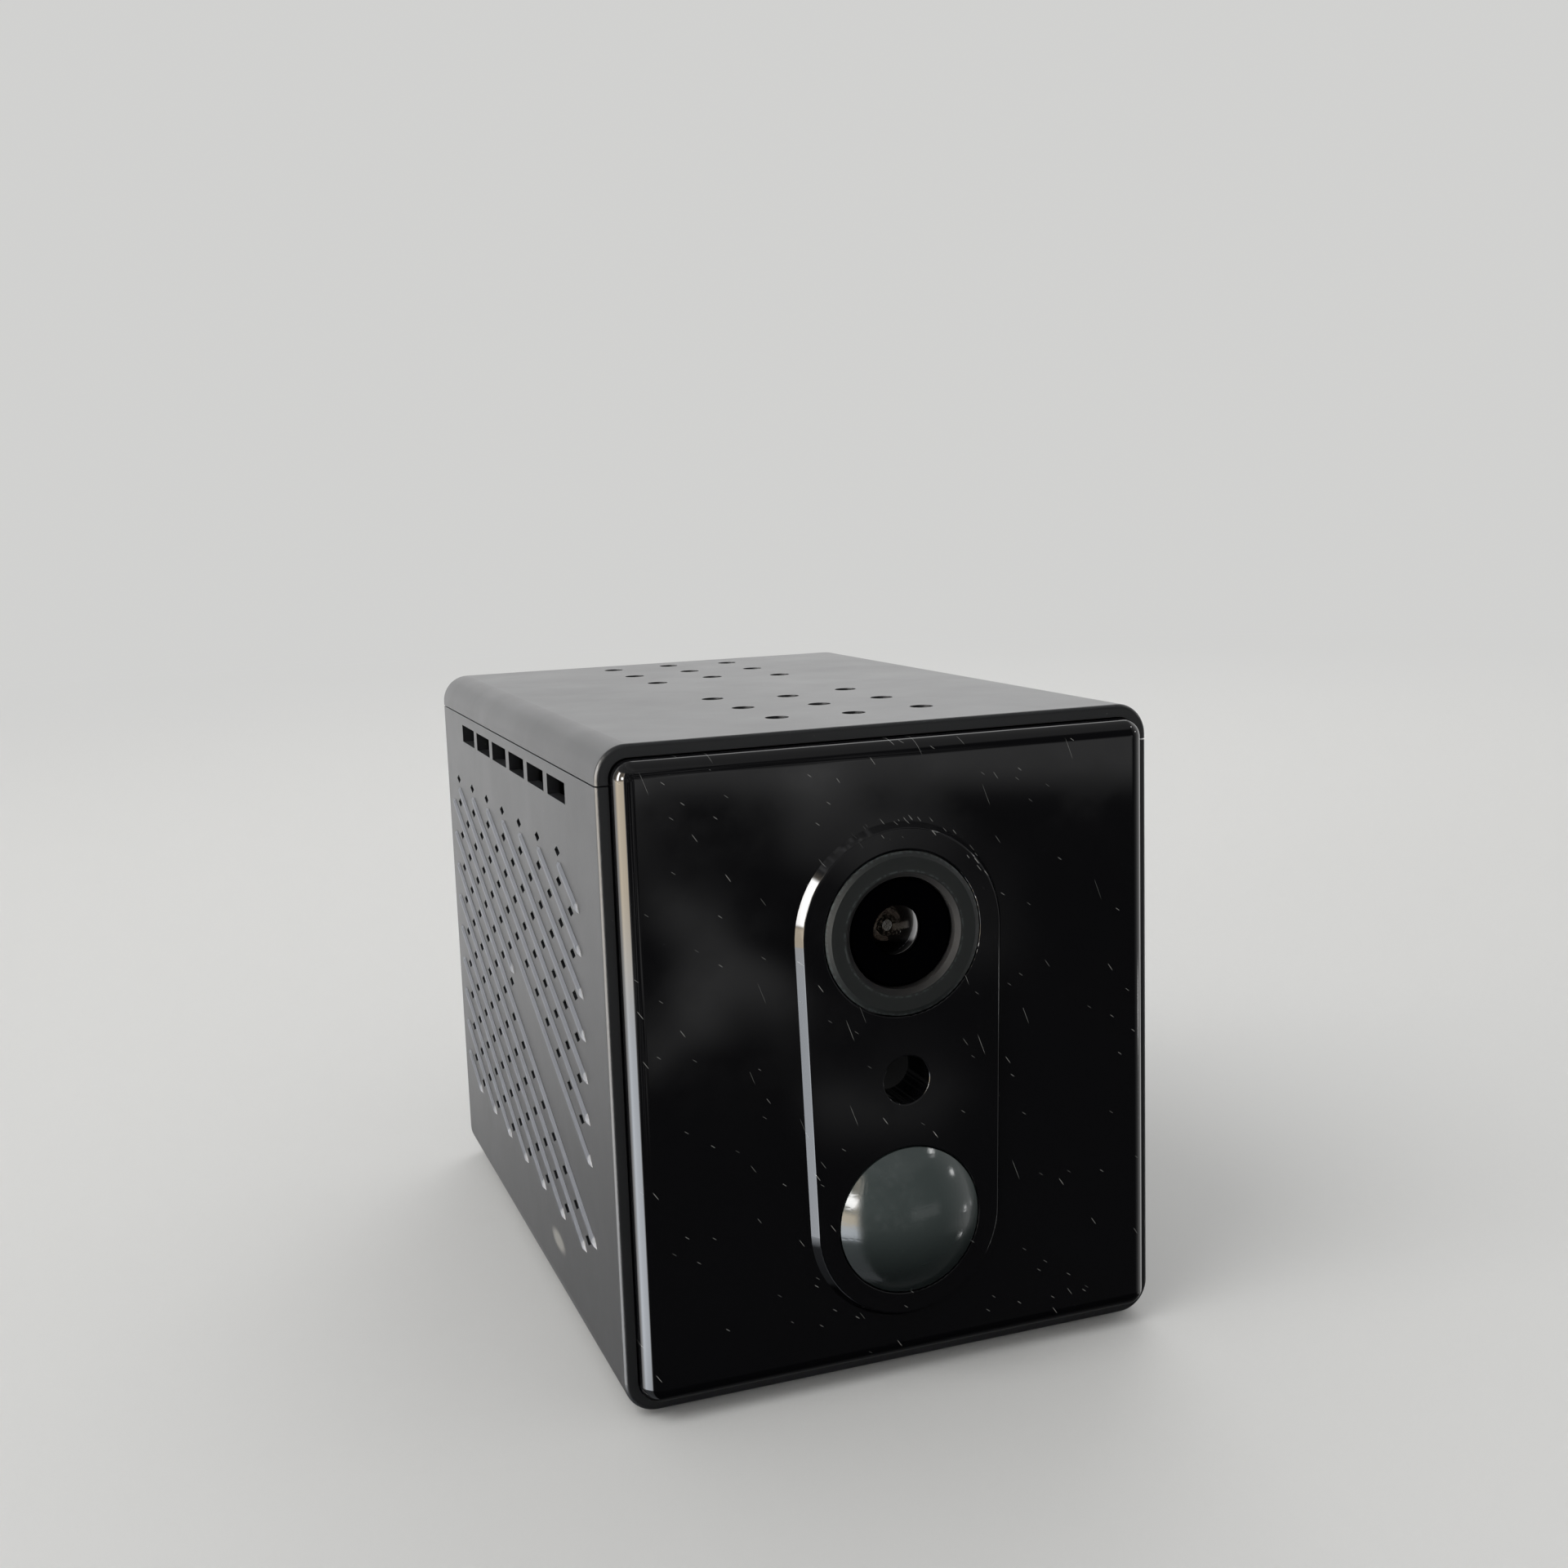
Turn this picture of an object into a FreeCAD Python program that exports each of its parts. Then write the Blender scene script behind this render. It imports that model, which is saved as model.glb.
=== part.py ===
import FreeCAD, Part
import math
import os
import Sketcher

# Deep cuboid security camera with a motion sensor.
# X runs along the front, Y to the back, Z up. Z = 0 is the surface the camera stands on,
# and X = 0, Y = 0 is the middle of its footprint. All sizes are in millimetres.

Vector = FreeCAD.Vector
doc = FreeCAD.newDocument("deep_cube_camera")
sizes = doc.addObject("Spreadsheet::Sheet", "sizes")

driving = {
    # casing
    "body_width": 50.0,
    "body_height": 56.5,
    "body_depth": 70.0,
    "corner_radius": 2.8,
    "wall": 1.1,
    "seam_drop": 3.2,
    "seam_gap": 0.12,
    "rim_round": 0.4,
    "fit_gap": 0.1,
    "lip_thick": 1.2,
    "lip_drop": 1.0,
    "lip_setback": 10.0,
    # six long slots on each side
    "slot_count": 6,
    "slot_first": 10.65,
    "slot_pitch": 8.24,
    "slot_length": 6.7,
    "slot_height": 1.85,
    "slot_drop": 1.15,
    # raised lattice on each side
    "lattice_front": 10.8,
    "lattice_top": 42.9,
    "lattice_run": 4.0,
    "lattice_rise": 1.855,
    "rib_width": 1.1,
    "rib_crest": 0.35,
    "rib_height": 0.25,
    "dimple_run": 1.0,
    "dimple_rise": 0.48,
    "dimple_depth": 0.5,
    # two groups of nine holes in the top
    "vent_diameter": 2.1,
    "vent_column": 6.89,
    "vent_offset": 0.7,
    "vent_pitch": 9.02,
    "vent_middle_pitch": 8.27,
    "vent_front": 9.3,
    "vent_front_middle": 8.5,
    "vent_rear": 46.2,
    "vent_rear_middle": 48.66,
    # front panel with its raised arch
    "panel_proud": 2.0,
    "panel_inset": 0.8,
    "panel_wall": 1.5,
    "panel_skirt": 1.1,
    "panel_fillet": 1.5,
    "arch_radius": 9.4,
    "arch_foot_radius": 8.8,
    "arch_rise": 0.75,
    "arch_slope": 33.0,
    "arch_round": 0.16,
    "hole_round": 0.12,
    # lens, light sensor and motion lens on the front, each at a share of the casing's height
    "lens_share": 0.692,
    "lens_ring_radius": 7.0,
    "lens_ring_opening": 4.8,
    "lens_ring_neck": 6.2,
    "lens_proud": 0.25,
    "lens_flange": 0.8,
    "lens_bevel": 0.45,
    "lens_chamfer": 0.4,
    "lens_neck_depth": 2.2,
    "barrel_front_depth": 0.8,
    "barrel_head_radius": 4.7,
    "barrel_head_length": 3.2,
    "thread_radius": 6.0,
    "barrel_length": 14.2,
    "barrel_chamfer": 0.3,
    "barrel_lip": 0.2,
    "barrel_dish": 0.9,
    "barrel_tail": 3.0,
    "barrel_tail_wall": 1.6,
    "barrel_bore_inset": 0.6,
    "inner_lens_length": 2.4,
    "glass_radius": 2.4,
    "glass_crown": 0.7,
    "glass_thick": 1.6,
    "glass_edge": 0.25,
    "sensor_share": 0.4673,
    "sensor_radius": 2.1,
    "window_radius": 3.2,
    "window_thick": 0.8,
    "motion_share": 0.2478,
    "dome_radius": 6.4,
    "dome_height": 2.8,
    "dome_wall": 1.0,
    "dome_flange_radius": 7.8,
    "dome_flange": 0.8,
    # frame behind the panel
    "tape_thick": 0.2,
    "frame_thick": 2.0,
    "boss_size": 6.0,
    "boss_length": 7.0,
    "screw_radius": 0.8,
    "screw_hole": 0.85,
    "screw_length": 6.0,
    "head_radius": 1.6,
    "head_thick": 0.9,
    "head_clearance": 0.2,
    # boards at the front
    "camera_board_back": 16.0,
    "camera_board_margin": 2.9,
    "camera_board_height": 23.6,
    "camera_board_drop": 11.1,
    "camera_post_inset": 6.0,
    "camera_post_drop": 8.6,
    "camera_post_rise": 7.9,
    "sensor_board_back": 7.0,
    "sensor_board_margin": 6.9,
    "sensor_board_drop": 10.0,
    "sensor_board_height": 24.3,
    "sensor_post_inset": 2.5,
    "sensor_post_drop": 7.2,
    "sensor_post_rise": 11.4,
    "post_radius": 2.0,
    "board_thick": 1.0,
    "holder_size": 16.0,
    "holder_radius": 8.0,
    "holder_flange": 3.0,
    "holder_length": 11.8,
    "holder_clearance": 0.5,
    "pilot_length": 4.5,
    "sensor_chip": 7.5,
    "sensor_chip_thick": 1.0,
    "filter_size": 9.5,
    "filter_thick": 0.3,
    "filter_lip": 0.8,
    "can_radius": 4.1,
    "can_height": 4.2,
    "can_rim_radius": 4.6,
    "can_rim": 0.6,
    "light_chip_width": 3.0,
    "light_chip_height": 2.0,
    "light_chip_thick": 1.2,
    "lamp_size": 2.8,
    "lamp_thick": 1.6,
    "status_width": 1.6,
    "status_size": 0.8,
    "status_drop": 4.0,
    "status_gap": 1.2,
    "socket_inset": 4.8,
    "socket_width": 3.6,
    "socket_depth": 3.8,
    "socket_height": 3.7,
    # battery on its two ribs
    "battery_width": 38.0,
    "battery_length": 42.0,
    "battery_thick": 10.0,
    "battery_round": 3.0,
    "battery_front": 18.8,
    "battery_lift": 6.4,
    "battery_tape_thick": 0.2,
    "rib_spacing": 24.0,
    "rib_thick": 1.5,
    # main board on its two ledges
    "ledge_top": 31.5,
    "ledge_thick": 2.5,
    "ledge_width": 3.2,
    "ledge_front": 22.0,
    "board_margin": 0.3,
    "board_screw_inset": 1.7,
    "board_screw_length": 3.0,
    "board_screw_front": 3.0,
    "board_screw_rear": 12.0,
    # what stands on the main board
    "chip_back": 11.0,
    "chip_size": 12.0,
    "chip_thick": 1.2,
    "heat_pad_thick": 0.5,
    "sink_size": 20.0,
    "sink_thick": 1.4,
    "fin_count": 6,
    "fin_thick": 0.9,
    "fin_height": 5.0,
    "fin_root": 0.2,
    "memory_x": 13.0,
    "memory_width": 6.0,
    "memory_length": 8.0,
    "memory_thick": 1.0,
    "memory_gap": 3.0,
    "wifi_x": -15.5,
    "wifi_width": 10.0,
    "wifi_length": 13.0,
    "wifi_thick": 0.8,
    "shield_height": 1.6,
    "shield_inset": 0.6,
    "antenna_length": 30.0,
    "antenna_height": 7.0,
    "antenna_thick": 0.3,
    "antenna_lift": 5.0,
    "antenna_start": 4.0,
    "flex_width": 10.0,
    "flex_thick": 0.2,
    "flex_lift": 5.2,
    "flex_plug_width": 12.0,
    "flex_plug_depth": 2.0,
    "flex_plug_height": 2.4,
    "board_plug_depth": 2.4,
    "board_plug_height": 1.4,
    "board_plug_inset": 1.2,
    "battery_plug_x": 13.0,
    "battery_plug_width": 7.0,
    "battery_plug_depth": 5.0,
    "battery_plug_height": 4.2,
    # rear cover and what shows through it
    "cover_thick": 2.0,
    "usb_width": 9.0,
    "usb_height": 3.2,
    "usb_wall": 0.3,
    "usb_length": 7.3,
    "usb_recess": 0.4,
    "usb_flat": 0.1,
    "usb_end": 1.0,
    "tongue_width": 6.6,
    "tongue_thick": 0.7,
    "tongue_setback": 0.8,
    "port_gap": 0.2,
    "card_inset": 10.4,
    "card_width": 11.0,
    "card_length": 15.0,
    "card_thick": 0.75,
    "card_recess": 0.5,
    "card_gap": 0.15,
    "card_stop": 0.6,
    "card_notch": 2.4,
    "cage_setback": 0.3,
    "socket_wall": 0.45,
    "power_inset": 13.4,
    "power_radius": 2.8,
    "reset_inset": 5.9,
    "reset_radius": 1.4,
    "button_gap": 0.12,
    "button_travel": 0.3,
    "button_flange": 0.6,
    "button_stem": 2.0,
    "button_height": 1.8,
    "button_recess": 0.05,
    "switch_width": 4.5,
    "switch_depth": 4.0,
    "switch_height": 3.6,
    "plunger_radius": 0.8,
    "plunger_show": 0.7,
    "plunger_bury": 0.5,
    # sound
    "speaker_radius": 9.6,
    "speaker_thick": 4.0,
    "gasket_thick": 0.8,
    "gasket_width": 1.0,
    "cone_depth": 0.6,
    "microphone_radius": 3.0,
    "microphone_thick": 2.2,
    "microphone_recess": 0.5,
    "boot_wall": 1.0,
    # base
    "foot_radius": 4.0,
    "foot_height": 0.5,
    "foot_inset": 9.0,
    "foot_recess": 0.5,
    "tripod_bore": 2.6,
    "tripod_radius": 4.0,
    "tripod_length": 6.0,
    "tripod_wall": 1.5,
    "tripod_seat": 1.0,
    "waist_height": 1.0,
    "waist_depth": 0.4,
    "press_gap": 0.03,
    # how far a cutting tool reaches past the solid
    "past": 1.0,
}
for row, (alias, number) in enumerate(driving.items(), start=1):
    sizes.set(f"A{row}", alias)
    sizes.set(f"B{row}", str(number))
    sizes.setAlias(f"B{row}", alias)
doc.recompute()


def value(text):
    """Number that an expression on the sheet gives."""
    return float(sizes.evalExpression(str(text)))


def total(*terms):
    """Sum of expressions, kept as one expression."""
    return "(" + " + ".join(str(term) for term in terms) + ")"


def less(first, *others):
    """First expression minus the others, kept as one expression."""
    return "(" + " - ".join(str(term) for term in (first,) + others) + ")"


def half(text):
    return f"({text} / 2)"


def negative(text):
    return f"(0 - {text})"


# Places that many pieces share
base = "sizes.foot_height"
top = total(base, "sizes.body_height")
seam = less(top, "sizes.seam_drop")
floor = total(base, "sizes.wall")
ceiling = less(top, "sizes.wall")
inner_half = less(half("sizes.body_width"), "sizes.wall")
front = half(less(total("sizes.panel_proud", "sizes.arch_rise", "sizes.dome_height"), "sizes.body_depth"))
back = total(front, "sizes.body_depth")
panel_face = less(front, "sizes.panel_proud")
arch_face = less(panel_face, "sizes.arch_rise")
panel_inside = total(panel_face, "sizes.panel_wall")
panel_back = total(front, "sizes.panel_inset")
frame_face = total(panel_back, "sizes.tape_thick")
frame_back = total(frame_face, "sizes.frame_thick")
cover_face = less(back, "sizes.cover_thick")
lens_z = total(base, "sizes.lens_share * sizes.body_height")
sensor_z = total(base, "sizes.sensor_share * sizes.body_height")
motion_z = total(base, "sizes.motion_share * sizes.body_height")
ring_face = less(arch_face, "sizes.lens_proud")
ring_seat = total(ring_face, "sizes.lens_flange")
barrel_face = total(ring_face, "sizes.barrel_front_depth")
camera_board_face = total(front, "sizes.camera_board_back")
sensor_board_face = total(front, "sizes.sensor_board_back")
holder_face = less(camera_board_face, "sizes.holder_length")
boss_middle = less(inner_half, "sizes.fit_gap", half("sizes.boss_size"))
boss_low = total(floor, half("sizes.boss_size"))
boss_high = less(ceiling, half("sizes.boss_size"))
ledge_z = total(base, "sizes.ledge_top")
board_top = total(ledge_z, "sizes.board_thick")
flange_face = less(cover_face, "sizes.button_gap", "sizes.button_flange")
board_front = total(front, "sizes.ledge_front")
board_back = less(flange_face, "sizes.button_travel", "sizes.board_margin")
button_z = total(board_top, "sizes.button_height")
battery_y = total(front, "sizes.battery_front")
battery_z = total(floor, "sizes.battery_lift")
tripod_y = half(total(front, back))
camera_board_half = less(inner_half, "sizes.camera_board_margin")
camera_board_low = less(lens_z, "sizes.camera_board_drop")
sensor_board_half = less(inner_half, "sizes.sensor_board_margin")
sensor_board_low = less(motion_z, "sizes.sensor_board_drop")
camera_post_x = less(camera_board_half, "sizes.camera_post_inset")
sensor_post_x = less(sensor_board_half, "sizes.sensor_post_inset")
lamp_places = (negative(half(sensor_post_x)), half(sensor_post_x))
card_x = less(inner_half, "sizes.card_inset")
power_x = less("sizes.power_inset", inner_half)
reset_x = less("sizes.reset_inset", inner_half)


# Sketch and feature helpers


def body_of(label):
    return doc.addObject("PartDesign::Body", label)


def sketch_on(body, name, role, place):
    """Sketch on one of the body's own origin planes, moved to a place along the plane's axis."""
    item = body.newObject("Sketcher::SketchObject", name)
    plane = next(entry for entry in body.Origin.OriginFeatures if entry.Role == role)
    item.AttachmentSupport = [(plane, "")]
    item.MapMode = "FlatFace"
    # The XZ plane faces -Y, so a place along Y counts backwards there.
    offset = negative(place) if role == "XZ_Plane" else str(place)
    item.setExpression("AttachmentOffset.Base.z", offset)
    return item


def measure(sketch, kind, *parts):
    """Dimension whose last part is an expression on the sheet."""
    text = str(parts[-1])
    number = sketch.addConstraint(Sketcher.Constraint(kind, *parts[:-1], value(text)))
    sketch.setExpression(f"Constraints[{number}]", text)


def outline(sketch, points):
    """Closed run of straight lines through points given as pairs of expressions."""
    first = sketch.GeometryCount
    count = len(points)
    corners = [Vector(value(across), value(up), 0) for across, up in points]
    for step in range(count):
        sketch.addGeometry(Part.LineSegment(corners[step], corners[(step + 1) % count]), False)
    for step in range(count):
        following = first + (step + 1) % count
        sketch.addConstraint(Sketcher.Constraint("Coincident", first + step, 2, following, 1))
    for step, (across, up) in enumerate(points):
        measure(sketch, "DistanceX", -1, 1, first + step, 1, across)
        measure(sketch, "DistanceY", -1, 1, first + step, 1, up)


def rectangle(sketch, middle, low, width, height):
    left = less(middle, half(width))
    right = total(middle, half(width))
    high = total(low, height)
    outline(sketch, [(left, low), (right, low), (right, high), (left, high)])


def circle(sketch, across, up, radius):
    centre = Vector(value(across), value(up), 0)
    number = sketch.addGeometry(Part.Circle(centre, Vector(0, 0, 1), value(radius)), False)
    measure(sketch, "Radius", number, radius)
    measure(sketch, "DistanceX", -1, 1, number, 3, across)
    measure(sketch, "DistanceY", -1, 1, number, 3, up)


def rounded_rectangle(sketch, middle, low, width, height, radius):
    """Rectangle with four equal round corners, bottom line first and then anticlockwise."""
    first = sketch.GeometryCount
    reach, wide, tall = value(radius), value(width), value(height)
    left, bottom = value(middle) - wide / 2, value(low)
    right, upper = left + wide, bottom + tall
    runs = [
        ((left + reach, bottom), (right - reach, bottom)),
        ((right, bottom + reach), (right, upper - reach)),
        ((right - reach, upper), (left + reach, upper)),
        ((left, upper - reach), (left, bottom + reach)),
    ]
    centres = [
        (right - reach, bottom + reach),
        (right - reach, upper - reach),
        (left + reach, upper - reach),
        (left + reach, bottom + reach),
    ]
    for side in range(4):
        start, end = (Vector(*point, 0) for point in runs[side])
        sketch.addGeometry(Part.LineSegment(start, end), False)
        corner = Part.Circle(Vector(*centres[side], 0), Vector(0, 0, 1), reach)
        turn = (side - 1) * math.pi / 2
        sketch.addGeometry(Part.ArcOfCircle(corner, turn, turn + math.pi / 2), False)
    for side in range(4):
        line = first + 2 * side
        following = first + (2 * side + 2) % 8
        sketch.addConstraint(Sketcher.Constraint("Tangent", line, 2, line + 1, 1))
        sketch.addConstraint(Sketcher.Constraint("Tangent", line + 1, 2, following, 1))
        direction = "Horizontal" if side % 2 == 0 else "Vertical"
        sketch.addConstraint(Sketcher.Constraint(direction, line))
    for side in range(1, 4):
        sketch.addConstraint(Sketcher.Constraint("Equal", first + 1, first + 2 * side + 1))
    measure(sketch, "Radius", first + 1, radius)
    measure(sketch, "DistanceX", -1, 1, first + 6, 1, less(middle, half(width)))
    measure(sketch, "DistanceY", -1, 1, first, 1, low)
    measure(sketch, "DistanceX", first + 6, 1, first + 2, 1, width)
    measure(sketch, "DistanceY", first, 1, first + 4, 1, height)


def grown(body, feature, sign):
    """Recompute and make sure that a feature added (1) or took away (-1) material."""
    before = feature.BaseFeature.Shape.Volume if feature.BaseFeature else 0.0
    doc.recompute()
    if (feature.Shape.Volume - before) * sign <= 0:
        raise RuntimeError(f"{body.Label}: {feature.Label} did not change the solid as meant")
    return feature


def pad(body, sketch, length, reverse=False):
    feature = body.newObject("PartDesign::Pad", sketch.Name + "_pad")
    feature.Profile = sketch
    feature.setExpression("Length", str(length))
    feature.Reversed = reverse
    return grown(body, feature, 1)


def pocket(body, sketch, length, reverse=False):
    feature = body.newObject("PartDesign::Pocket", sketch.Name + "_cut")
    feature.Profile = sketch
    feature.setExpression("Length", str(length))
    feature.Reversed = reverse
    return grown(body, feature, -1)


def pocket_through(body, sketch):
    """Cut both ways through the whole body."""
    feature = body.newObject("PartDesign::Pocket", sketch.Name + "_cut")
    feature.Profile = sketch
    feature.Type = "ThroughAll"
    feature.Midplane = True
    return grown(body, feature, -1)


def round_edges(body, base_feature, name, radius, chosen):
    """Fillet on the edges that a test picks out."""
    edges = enumerate(base_feature.Shape.Edges, start=1)
    names = [f"Edge{number}" for number, edge in edges if chosen(edge)]
    feature = body.newObject("PartDesign::Fillet", name)
    feature.Base = (base_feature, names)
    feature.setExpression("Radius", str(radius))
    doc.recompute()
    return feature


def lies_at(edge, axis, place):
    """True where an edge lies in the plane across an axis at a place."""
    bounds = edge.BoundBox
    low = getattr(bounds, axis + "Min")
    high = getattr(bounds, axis + "Max")
    return abs(low - place) < 0.001 and abs(high - place) < 0.001


def turned(label, across, depth, up, profile):
    """Piece turned about its own Y axis, from pairs of radius and depth."""
    body = body_of(label)
    sketch = sketch_on(body, label + "_profile", "XY_Plane", "0")
    outline(sketch, profile)
    feature = body.newObject("PartDesign::Revolution", label + "_turn")
    feature.Profile = sketch
    feature.ReferenceAxis = (sketch, ["V_Axis"])
    feature.Angle = 360
    place(body, across, depth, up)
    return body


def place(item, across, depth, up):
    item.setExpression("Placement.Base.x", str(across))
    item.setExpression("Placement.Base.y", str(depth))
    item.setExpression("Placement.Base.z", str(up))
    return item


def block(name, middle, near, low, width, depth, height):
    """Box centred on X, that starts at a depth and a height."""
    item = doc.addObject("Part::Box", name)
    item.setExpression("Length", str(width))
    item.setExpression("Width", str(depth))
    item.setExpression("Height", str(height))
    return place(item, less(middle, half(width)), near, low)


def rod(name, across, near, up, radius, length):
    """Cylinder along Y that starts at a depth."""
    item = doc.addObject("Part::Cylinder", name)
    item.setExpression("Radius", str(radius))
    item.setExpression("Height", str(length))
    item.Placement = FreeCAD.Placement(Vector(), FreeCAD.Rotation(Vector(1, 0, 0), -90))
    return place(item, across, near, up)


def disc(name, across, depth, low, radius, height):
    """Cylinder along Z that starts at a height."""
    item = doc.addObject("Part::Cylinder", name)
    item.setExpression("Radius", str(radius))
    item.setExpression("Height", str(height))
    return place(item, across, depth, low)


def joined(name, items):
    item = doc.addObject("Part::MultiFuse", name)
    item.Shapes = items
    return item


def shared(name, items):
    """What several solids have in common."""
    item = doc.addObject("Part::MultiCommon", name)
    item.Shapes = items
    return item


def cut(name, solid, tools):
    item = doc.addObject("Part::Cut", name)
    item.Base = solid
    item.Tool = tools[0] if len(tools) == 1 else joined(name + "_tools", tools)
    return item


def group(name, items):
    """Several separate solids kept as one piece."""
    item = doc.addObject("Part::Compound", name)
    item.Links = items
    return item


def casing_tube(body, name):
    """Rounded rectangular tube that the tub and the lid are both cut from."""
    section = sketch_on(body, name, "XZ_Plane", front)
    rounded_rectangle(section, "0", base, "sizes.body_width", "sizes.body_height", "sizes.corner_radius")
    opening = total(inner_half, inner_half)
    tall = less(ceiling, floor)
    rounded_rectangle(section, "0", floor, opening, tall, less("sizes.corner_radius", "sizes.wall"))
    return pad(body, section, "sizes.body_depth", reverse=True)


def round_rim(body, feature, name):
    """Small rounding on the outer edge of the casing's two open ends."""
    side = value(half("sizes.body_width"))
    radius = value("sizes.corner_radius")
    low, high = value(base), value(top)

    def on_outside(edge):
        if not (lies_at(edge, "Y", value(front)) or lies_at(edge, "Y", value(back))):
            return False
        if isinstance(edge.Curve, Part.Circle):
            return abs(edge.Curve.Radius - radius) < 0.001
        sides = lies_at(edge, "X", side) or lies_at(edge, "X", -side)
        return sides or lies_at(edge, "Z", low) or lies_at(edge, "Z", high)

    return round_edges(body, feature, name, "sizes.rim_round", on_outside)


def screw_points(height):
    """The two places, left and right, of a row of corner screws."""
    return [(negative(boss_middle), height), (boss_middle, height)]


def boss_pair(body, name, height, low):
    """Square bosses at both ends of the casing, with pilot holes for the corner screws."""
    for end, face, backwards in (("front", frame_back, True), ("rear", cover_face, False)):
        sketch = sketch_on(body, f"{name}_{end}", "XZ_Plane", face)
        for across, _ in screw_points(height):
            rectangle(sketch, across, low, "sizes.boss_size", "sizes.boss_size")
        pad(body, sketch, "sizes.boss_length", reverse=backwards)
        holes = sketch_on(body, f"{name}_{end}_holes", "XZ_Plane", face)
        for across, up in screw_points(height):
            circle(holes, across, up, "sizes.screw_hole")
        pocket(body, holes, "sizes.screw_length", reverse=not backwards)


# Casing


def lattice_point(column, line):
    """Place on the side wall of one lattice point, as depth and height."""
    depth = value(front) + value("sizes.lattice_front") + column * value("sizes.lattice_run")
    height = value(base) + value("sizes.lattice_top") - line * value("sizes.lattice_rise")
    return depth, height


# The lattice has 14 columns and 18 lines. Ribs run down towards the front on the even diagonals,
# where column plus line is the same all along a rib, and dimples lie on the odd ones. Round the
# fourteenth diagonal the front half of each side is left plain.
first_column, last_column = -0.8, 14.0
first_line, last_line = -1.0, 17.8
band_column = 6.6
band_rib = 14
top_row = -1.45


def rib_solid(start, end, side):
    """Long low roof with pointed ends, standing on the outside of a side wall."""
    wall_x = side * value(half("sizes.body_width"))
    crest_x = wall_x + side * value("sizes.rib_height")
    root_x = wall_x - side * value(half("sizes.rib_height"))
    along = Vector(0, end[0] - start[0], end[1] - start[1])
    along.normalize()
    across = Vector(0, -along.z, along.y)
    width = value(half("sizes.rib_width"))
    crest = value(half("sizes.rib_crest"))

    def ring(place_x, spread, tip):
        low = Vector(place_x, *start)
        high = Vector(place_x, *end)
        shoulder = along * (2 * width)
        points = [
            low + along * tip,
            low + shoulder + across * spread,
            high - shoulder + across * spread,
            high - along * tip,
            high - shoulder - across * spread,
            low + shoulder - across * spread,
        ]
        return Part.makePolygon(points + points[:1])

    skirt = ring(root_x, width, 0.0)
    foot = ring(wall_x, width, 0.0)
    roof = ring(crest_x, crest, width)
    lower = Part.makeLoft([skirt, foot], True, True)
    return lower.fuse(Part.makeLoft([foot, roof], True, True))


def dimple_solid(column, line, side):
    """Upright diamond sunk into the outside of a side wall."""
    depth, height = lattice_point(column, line)
    run, rise = value("sizes.dimple_run"), value("sizes.dimple_rise")
    outside = side * (value(half("sizes.body_width")) + value("sizes.rib_height"))
    bottom = side * (value(half("sizes.body_width")) - value("sizes.dimple_depth"))
    corners = [
        Vector(bottom, depth - run, height),
        Vector(bottom, depth, height - rise),
        Vector(bottom, depth + run, height),
        Vector(bottom, depth, height + rise),
    ]
    face = Part.Face(Part.makePolygon(corners + corners[:1]))
    return face.extrude(Vector(outside - bottom, 0, 0))


def rib_spans():
    """Start and end of each rib on a side wall, from the rear top to the front foot."""
    for diagonal in range(0, 32, 2):
        lowest = max(first_column, diagonal - last_line)
        if diagonal == band_rib:
            lowest = band_column
        highest = min(last_column, diagonal - first_line)
        yield lattice_point(highest, diagonal - highest), lattice_point(lowest, diagonal - lowest)


def dimple_points():
    """Column and line of each dimple: midway between ribs, and one row above the ribs."""
    for diagonal in range(1, 31, 2):
        for column in range(14):
            line = diagonal - column
            in_band = abs(diagonal - band_rib) < 2 and column < band_column
            if 0 <= line <= 17 and not in_band:
                yield column, line
    for column in range(1, 14, 2):
        yield column, top_row


def side_relief(name, make, places):
    """Part of the lattice on both side walls, as one compound."""
    item = doc.addObject("Part::Feature", name)
    item.Shape = Part.makeCompound([make(*where, side) for side in (-1, 1) for where in places])
    return item


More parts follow.
